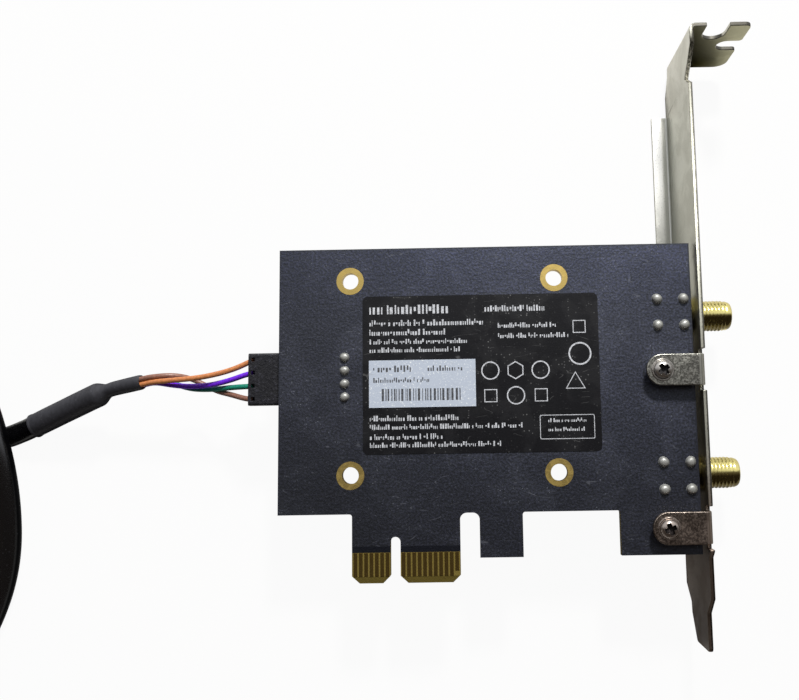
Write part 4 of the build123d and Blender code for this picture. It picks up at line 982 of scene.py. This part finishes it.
class CARD_OT_labels(bpy.types.Operator):
    """Finish the two labels and lay plain blocks of print on them"""
    bl_idname = "card.labels"
    bl_label = "Labels"

    def execute(self, context):
        settings = context.scene.wireless_card.board
        dress(film_finish("label_film", tuple(settings.label), (0.2, 0.2, 0.2)), "product_label")
        dress(film_finish("label_paper", tuple(settings.paper), (0.42, 0.44, 0.48), roughness=0.5), "serial_label")
        rng = np.random.default_rng(11)
        self.height = 0.103
        shell = Shell()
        self.line(shell, rng, -4.7, 50.6, 15.5, 1.75, 0.78)
        self.line(shell, rng, 17.5, 50.8, 12.0, 1.15, 0.72)
        for y, width, tall in ((48.3, 22.0, 1.15), (46.5, 15.0, 1.15), (44.8, 19.0, 0.95), (43.2, 17.5, 0.95)):
            self.line(shell, rng, -4.7, y, width, tall, 0.6)
        for y, width in ((47.6, 11.5), (45.6, 13.5)):
            self.line(shell, rng, 20.0, y, width, 0.95, 0.6)
        for x, y, sides in ((35.6, 47.6, 4), (18.4, 39.4, 48), (23.2, 39.4, 6), (28.0, 39.4, 48), (18.4, 34.6, 4),
                            (23.2, 34.6, 48), (28.0, 34.6, 4)):
            self.outline(shell, x, y, 1.75, 0.24, sides)
        for x, y, sides in ((35.6, 42.4, 48), (34.6, 36.8, 3)):
            self.outline(shell, x, y, 2.2, 0.3, sides)
        for y, width, tall in ((30.1, 17.0, 1.05), (28.5, 29.0, 0.95), (26.6, 14.0, 1.05), (25.1, 25.0, 0.95)):
            self.line(shell, rng, -4.7, y, width, tall, 0.58)
        self.frame(shell, 27.6, 26.6, 10.4, 4.6, 0.13)
        for y in (29.4, 27.7):
            self.line(shell, rng, 29.2, y, 7.2, 0.75, 0.55)
        f = Finish("label_ink")
        ink = tuple(settings.ink)
        worn = f.use("fine_grain", Size=0.35)["Height"]
        f.put("Base Color", f.mix(f.span(worn, 0.3, 0.62), tint(ink, 0.55), ink))
        f.put("Roughness", f.span(worn, 0.3, 0.7, 0.4, 0.55))
        piece = shell.build("label_print", [f.material], closed=False)

        self.height = 0.203
        shell = Shell()
        bars = np.cumsum(rng.choice([0.14, 0.2, 0.3, 0.42], 90))
        bars = bars[bars < 16.0]
        starts, ends = bars[0:-1:2], bars[1::2]
        count = min(len(starts), len(ends))
        self.blocks(shell, -2.6 + starts[:count], -2.6 + ends[:count], np.full(count, 33.9), np.full(count, 36.2))
        self.line(shell, rng, -4.0, 39.4, 7.5, 1.25, 0.7)
        self.line(shell, rng, 6.4, 39.5, 6.8, 1.05, 0.6)
        self.line(shell, rng, -4.0, 37.4, 11.0, 0.95, 0.6)
        f = Finish("label_black_ink")
        worn = f.use("fine_grain", Size=0.3)["Height"]
        f.put("Base Color", f.mix(f.span(worn, 0.35, 0.7), (0.035, 0.037, 0.042), (0.12, 0.125, 0.14)))
        f.put("Roughness", f.span(worn, 0.3, 0.7, 0.45, 0.6))
        piece = shell.build("serial_print", [f.material], closed=False)
        return {"FINISHED"}

    def blocks(self, shell, left, right, low, high):
        """Flat blocks of print, all at once: each a quad from (left, low) to (right, high)."""
        corners = np.stack([np.c_[left, low], np.c_[right, low], np.c_[right, high], np.c_[left, high]], 1)
        points = np.concatenate([corners, np.full((*corners.shape[:2], 1), self.height)], -1)
        faces = shell.count + np.arange(len(points) * 4).reshape(-1, 4)
        shell.points.append(points.reshape(-1, 3))
        shell.faces += faces.tolist()
        shell.slots += [0] * len(faces)
        shell.count += len(points) * 4

    def line(self, shell, rng, x, y, width, tall, share):
        """A row of small blocks in groups, in place of a line of print, within a width."""
        count = 260
        block = rng.uniform(0.14, 0.34, count) * tall
        gap = np.where(rng.random(count) < 0.12, 0.5, rng.uniform(0.12, 0.24, count)) * tall
        left = x + np.r_[0.0, np.cumsum(block + gap)[:-1]]
        keep = left + block < x + width
        high = np.where(rng.random(count) < 0.35, tall, share * tall)
        low = np.where(rng.random(count) < 0.2, 0.3 * tall, 0.0)
        self.blocks(shell, left[keep], (left + block)[keep], (y + low)[keep], (y + high)[keep])

    def outline(self, shell, x, y, radius, stroke, sides):
        """A plain ring or regular outline: two rows of points at its inner and outer reach."""
        a = np.linspace(0, 2 * np.pi, sides, endpoint=False) + (np.pi / 4 if sides == 4 else np.pi / 2)
        rows = [np.stack([x + r * np.cos(a), y + r * np.sin(a), 0 * a + self.height], -1)
                for r in (radius, radius - stroke)]
        shell.grid(np.stack(rows[::-1])[:, ::-1], ring=True)

    def frame(self, shell, x, y, width, tall, stroke):
        """A thin rectangular frame: the round-cornered outline at two sizes."""
        rows = []
        for inset in (0.0, stroke):
            edge = rounded_outline(width - 2 * inset, tall - 2 * inset, 0.3 - inset / 2)
            rows.append(np.c_[edge + (x + width / 2, y + tall / 2 - 0.4), np.full(len(edge), self.height)])
        shell.grid(np.stack(rows[::-1])[:, ::-1], ring=True)


class CARD_OT_board(bpy.types.Operator):
    """Finish the circuit board, its contacts and plated holes"""
    bl_idname = "card.board"
    bl_label = "Circuit board"

    def execute(self, context):
        settings = context.scene.wireless_card
        dress(mask_finish(settings.board), "circuit_board")
        dress(gold_ring_finish(settings.metal), "hole_rings")
        dress(contact_finish(settings.metal), "edge_contacts")
        return {"FINISHED"}


class CARD_OT_bracket(bpy.types.Operator):
    """Finish the folded bracket"""
    bl_idname = "card.bracket"
    bl_label = "Bracket"

    def execute(self, context):
        settings = context.scene.wireless_card.metal
        finish = bracket_finish(tuple(settings.bracket))
        softened("folded_bracket", "io_bracket", finish, 0.2, square_below=9e-4)
        return {"FINISHED"}


class CARD_OT_plugs(bpy.types.Operator):
    """Finish the plugs, the header and their metal"""
    bl_idname = "card.plugs"
    bl_label = "Plugs and header"

    def execute(self, context):
        black = plastic_finish("black_plastic", (0.007, 0.007, 0.0105), roughness=0.42, grain=0.5, depth=0.1)
        softened("header_plug", "plug_housing", black, 0.1)
        softened("far_plug", "far_plug_housing", black, 0.12)
        dress(black, "header_base", "module_socket")
        tin = metal_finish("terminal_tin", (0.66, 0.64, 0.6), roughness=0.28, grain=0.12, depth=0.002)
        dress(tin, "header_pins", "plug_terminals", "far_plug_terminals", "socket_leads")
        return {"FINISHED"}


class CARD_OT_component_side(bpy.types.Operator):
    """Finish the module, its leads and the supply parts on the component side"""
    bl_idname = "card.component_side"
    bl_label = "Component side"

    def execute(self, context):
        f = Finish("module_mask")
        broad = f.use("broad_smudge", Size=4.0)["Mask"]
        fine = f.use("fine_grain", Size=0.3)
        f.put("Base Color", f.mix(broad, (0.012, 0.075, 0.03), (0.02, 0.11, 0.045)))
        f.put("Roughness", f.span(fine["Height"], 0.3, 0.7, 0.35, 0.5))
        f.bump((fine["Height"], 0.008))
        dress(f.material, "module_board")
        dress(metal_finish("shield_tin", (0.66, 0.66, 0.64), 0.3, 0.3, 0.004, 0.3, (0.06, 1.0, 1.0)), "module_shield")
        dress(plastic_finish("chip_black", (0.022, 0.022, 0.024), 0.5, 0.12, 0.008), "regulator_chip",
              "chip_resistors")
        dress(plastic_finish("ferrite_grey", (0.07, 0.07, 0.072), 0.6, 0.16, 0.015), "power_inductor")
        dress(plastic_finish("ceramic_tan", (0.3, 0.2, 0.12), 0.45, 0.2, 0.006), "chip_capacitors")
        dress(plastic_finish("coax_black", (0.012, 0.012, 0.013), 0.34, 0.25, 0.004), "upper_coax_lead",
              "lower_coax_lead")
        return {"FINISHED"}


class CARD_OT_studio(bpy.types.Operator):
    """Set the floor, lamps, room and camera"""
    bl_idname = "card.studio"
    bl_label = "Studio"

    def execute(self, context):
        scene = context.scene
        settings = scene.wireless_card.studio
        scene.view_settings.view_transform = "Standard"
        self.floor(tuple(settings.floor))
        self.room(scene, settings.room)
        self.lamp("key_lamp", (0.058, 0.33, 0.3), 0.05, settings.key_power, (1.0, 0.99, 0.97))
        camera = bpy.data.cameras.new("photo_camera")
        camera.sensor_width = 36.0
        camera.lens = settings.lens
        camera.shift_x = -0.08121
        camera.shift_y = -0.01473
        camera.clip_start = 0.005
        camera.clip_end = 20.0
        view = placed("photo_camera", camera)
        view.rotation_mode = "ZYX"
        view.location = settings.eye
        view.rotation_euler = settings.turn
        scene.camera = view
        return {"FINISHED"}

    def floor(self, colour):
        """A level sheet of points at the floor's height, white to the camera and in reflections, with the object's
        shadow kept in part."""
        side = np.linspace(-3.0, 3.0, 9)
        x, y = np.meshgrid(side, side, indexing="ij")
        mesh = bpy.data.meshes.new("studio_floor")
        points = np.stack([x, y, np.full_like(x, -0.0002)], -1).reshape(-1, 3)
        i = (np.arange(8)[:, None] * 9 + np.arange(8)[None]).ravel()
        mesh.from_pydata(points.tolist(), [], np.stack([i, i + 9, i + 10, i + 1], -1).tolist())
        material = bpy.data.materials.new("studio_floor")
        material.use_nodes = True
        tree = material.node_tree
        tree.nodes.remove(tree.nodes["Principled BSDF"])
        rays = add(tree, "ShaderNodeLightPath").outputs
        seen = calc(tree, "MULTIPLY", rays["Is Camera Ray"], 0.95)
        seen = calc(tree, "MAXIMUM", seen, calc(tree, "MULTIPLY", rays["Is Glossy Ray"], 0.04))
        seen = calc(tree, "MAXIMUM", seen, calc(tree, "MULTIPLY", rays["Is Transmission Ray"], 0.95))
        plain = add(tree, "ShaderNodeBsdfDiffuse", {"Color": (*colour, 1.0)}).outputs[0]
        white = add(tree, "ShaderNodeEmission", {"Color": (1.0, 1.0, 1.0, 1.0), "Strength": 1.0}).outputs[0]
        both = add(tree, "ShaderNodeMixShader", {0: seen, 1: plain, 2: white}).outputs[0]
        tree.links.new(both, tree.nodes["Material Output"].inputs["Surface"])
        mesh.materials.append(material)
        floor = placed("studio_floor", mesh)

    def room(self, scene, level):
        """Room light: dim and warm overhead and behind the viewer, bright beyond the card's top edge, softer on dull
        surfaces; white to the camera."""
        world = bpy.data.worlds.new("studio_room")
        world.use_nodes = True
        tree = world.node_tree
        ground = tree.nodes["Background"]
        way = add(tree, "ShaderNodeTexCoord").outputs["Generated"]
        y = add(tree, "ShaderNodeSeparateXYZ", {0: way}).outputs[1]
        shade = blend(tree, span(tree, y, 0.03, 0.3), tint((1.0, 0.83, 0.72), level), (0.86, 0.88, 0.93))
        rays = add(tree, "ShaderNodeLightPath").outputs
        shade = blend(tree, rays["Is Diffuse Ray"], shade, blend(tree, 1.0, shade, (0.5, 0.5, 0.5), "MULTIPLY"))
        tree.links.new(blend(tree, rays["Is Camera Ray"], shade, (1.0, 1.0, 1.0)), ground.inputs["Color"])
        ground.inputs["Strength"].default_value = 1.0
        scene.world = world

    def lamp(self, name, place, size, power, colour):
        """A square lamp that faces the middle of the card."""
        light = bpy.data.lights.new(name, "AREA")
        light.size = size
        light.energy = power
        light.color = colour
        lamp = placed(name, light)
        lamp.location = place
        lamp.rotation_euler = Vector(place).to_track_quat("Z", "Y").to_euler()


class CARD_PT_sidebar(bpy.types.Panel):
    """The card's pieces, one button each"""
    bl_idname = "CARD_PT_sidebar"
    bl_label = "Wireless card"
    bl_space_type = "VIEW_3D"
    bl_region_type = "UI"
    bl_category = "Wireless card"

    def draw(self, context):
        for operator in OPERATORS:
            self.layout.operator(operator.bl_idname)
        for group in ("studio", "cable", "board", "metal"):
            box = self.layout.box()
            box.label(text=group.capitalize())
            settings = getattr(context.scene.wireless_card, group)
            for key in settings.__annotations__:
                box.prop(settings, key)


OPERATORS = (CARD_OT_studio, CARD_OT_plugs, CARD_OT_cable, CARD_OT_board, CARD_OT_labels, CARD_OT_solder,
             CARD_OT_bracket, CARD_OT_screws, CARD_OT_jacks, CARD_OT_component_side)
CLASSES = (StudioSettings, CableSettings, BoardSettings, MetalSettings, CardSettings, *OPERATORS, CARD_PT_sidebar)


def register():
    for cls in CLASSES:
        bpy.utils.register_class(cls)
    bpy.types.Scene.wireless_card = PointerProperty(type=CardSettings)


def unregister():
    del bpy.types.Scene.wireless_card
    for cls in reversed(CLASSES):
        bpy.utils.unregister_class(cls)


def main():
    """Builds the whole scene."""
    register()
    surface_groups()
    bpy.ops.card.studio()
    bpy.ops.card.plugs()
    bpy.ops.card.cable()
    bpy.ops.card.board()
    bpy.ops.card.labels()
    bpy.ops.card.solder()
    bpy.ops.card.bracket()
    bpy.ops.card.screws()
    bpy.ops.card.jacks()
    bpy.ops.card.component_side()
    bpy.context.view_layer.update()


if __name__ == "__main__":
    main()
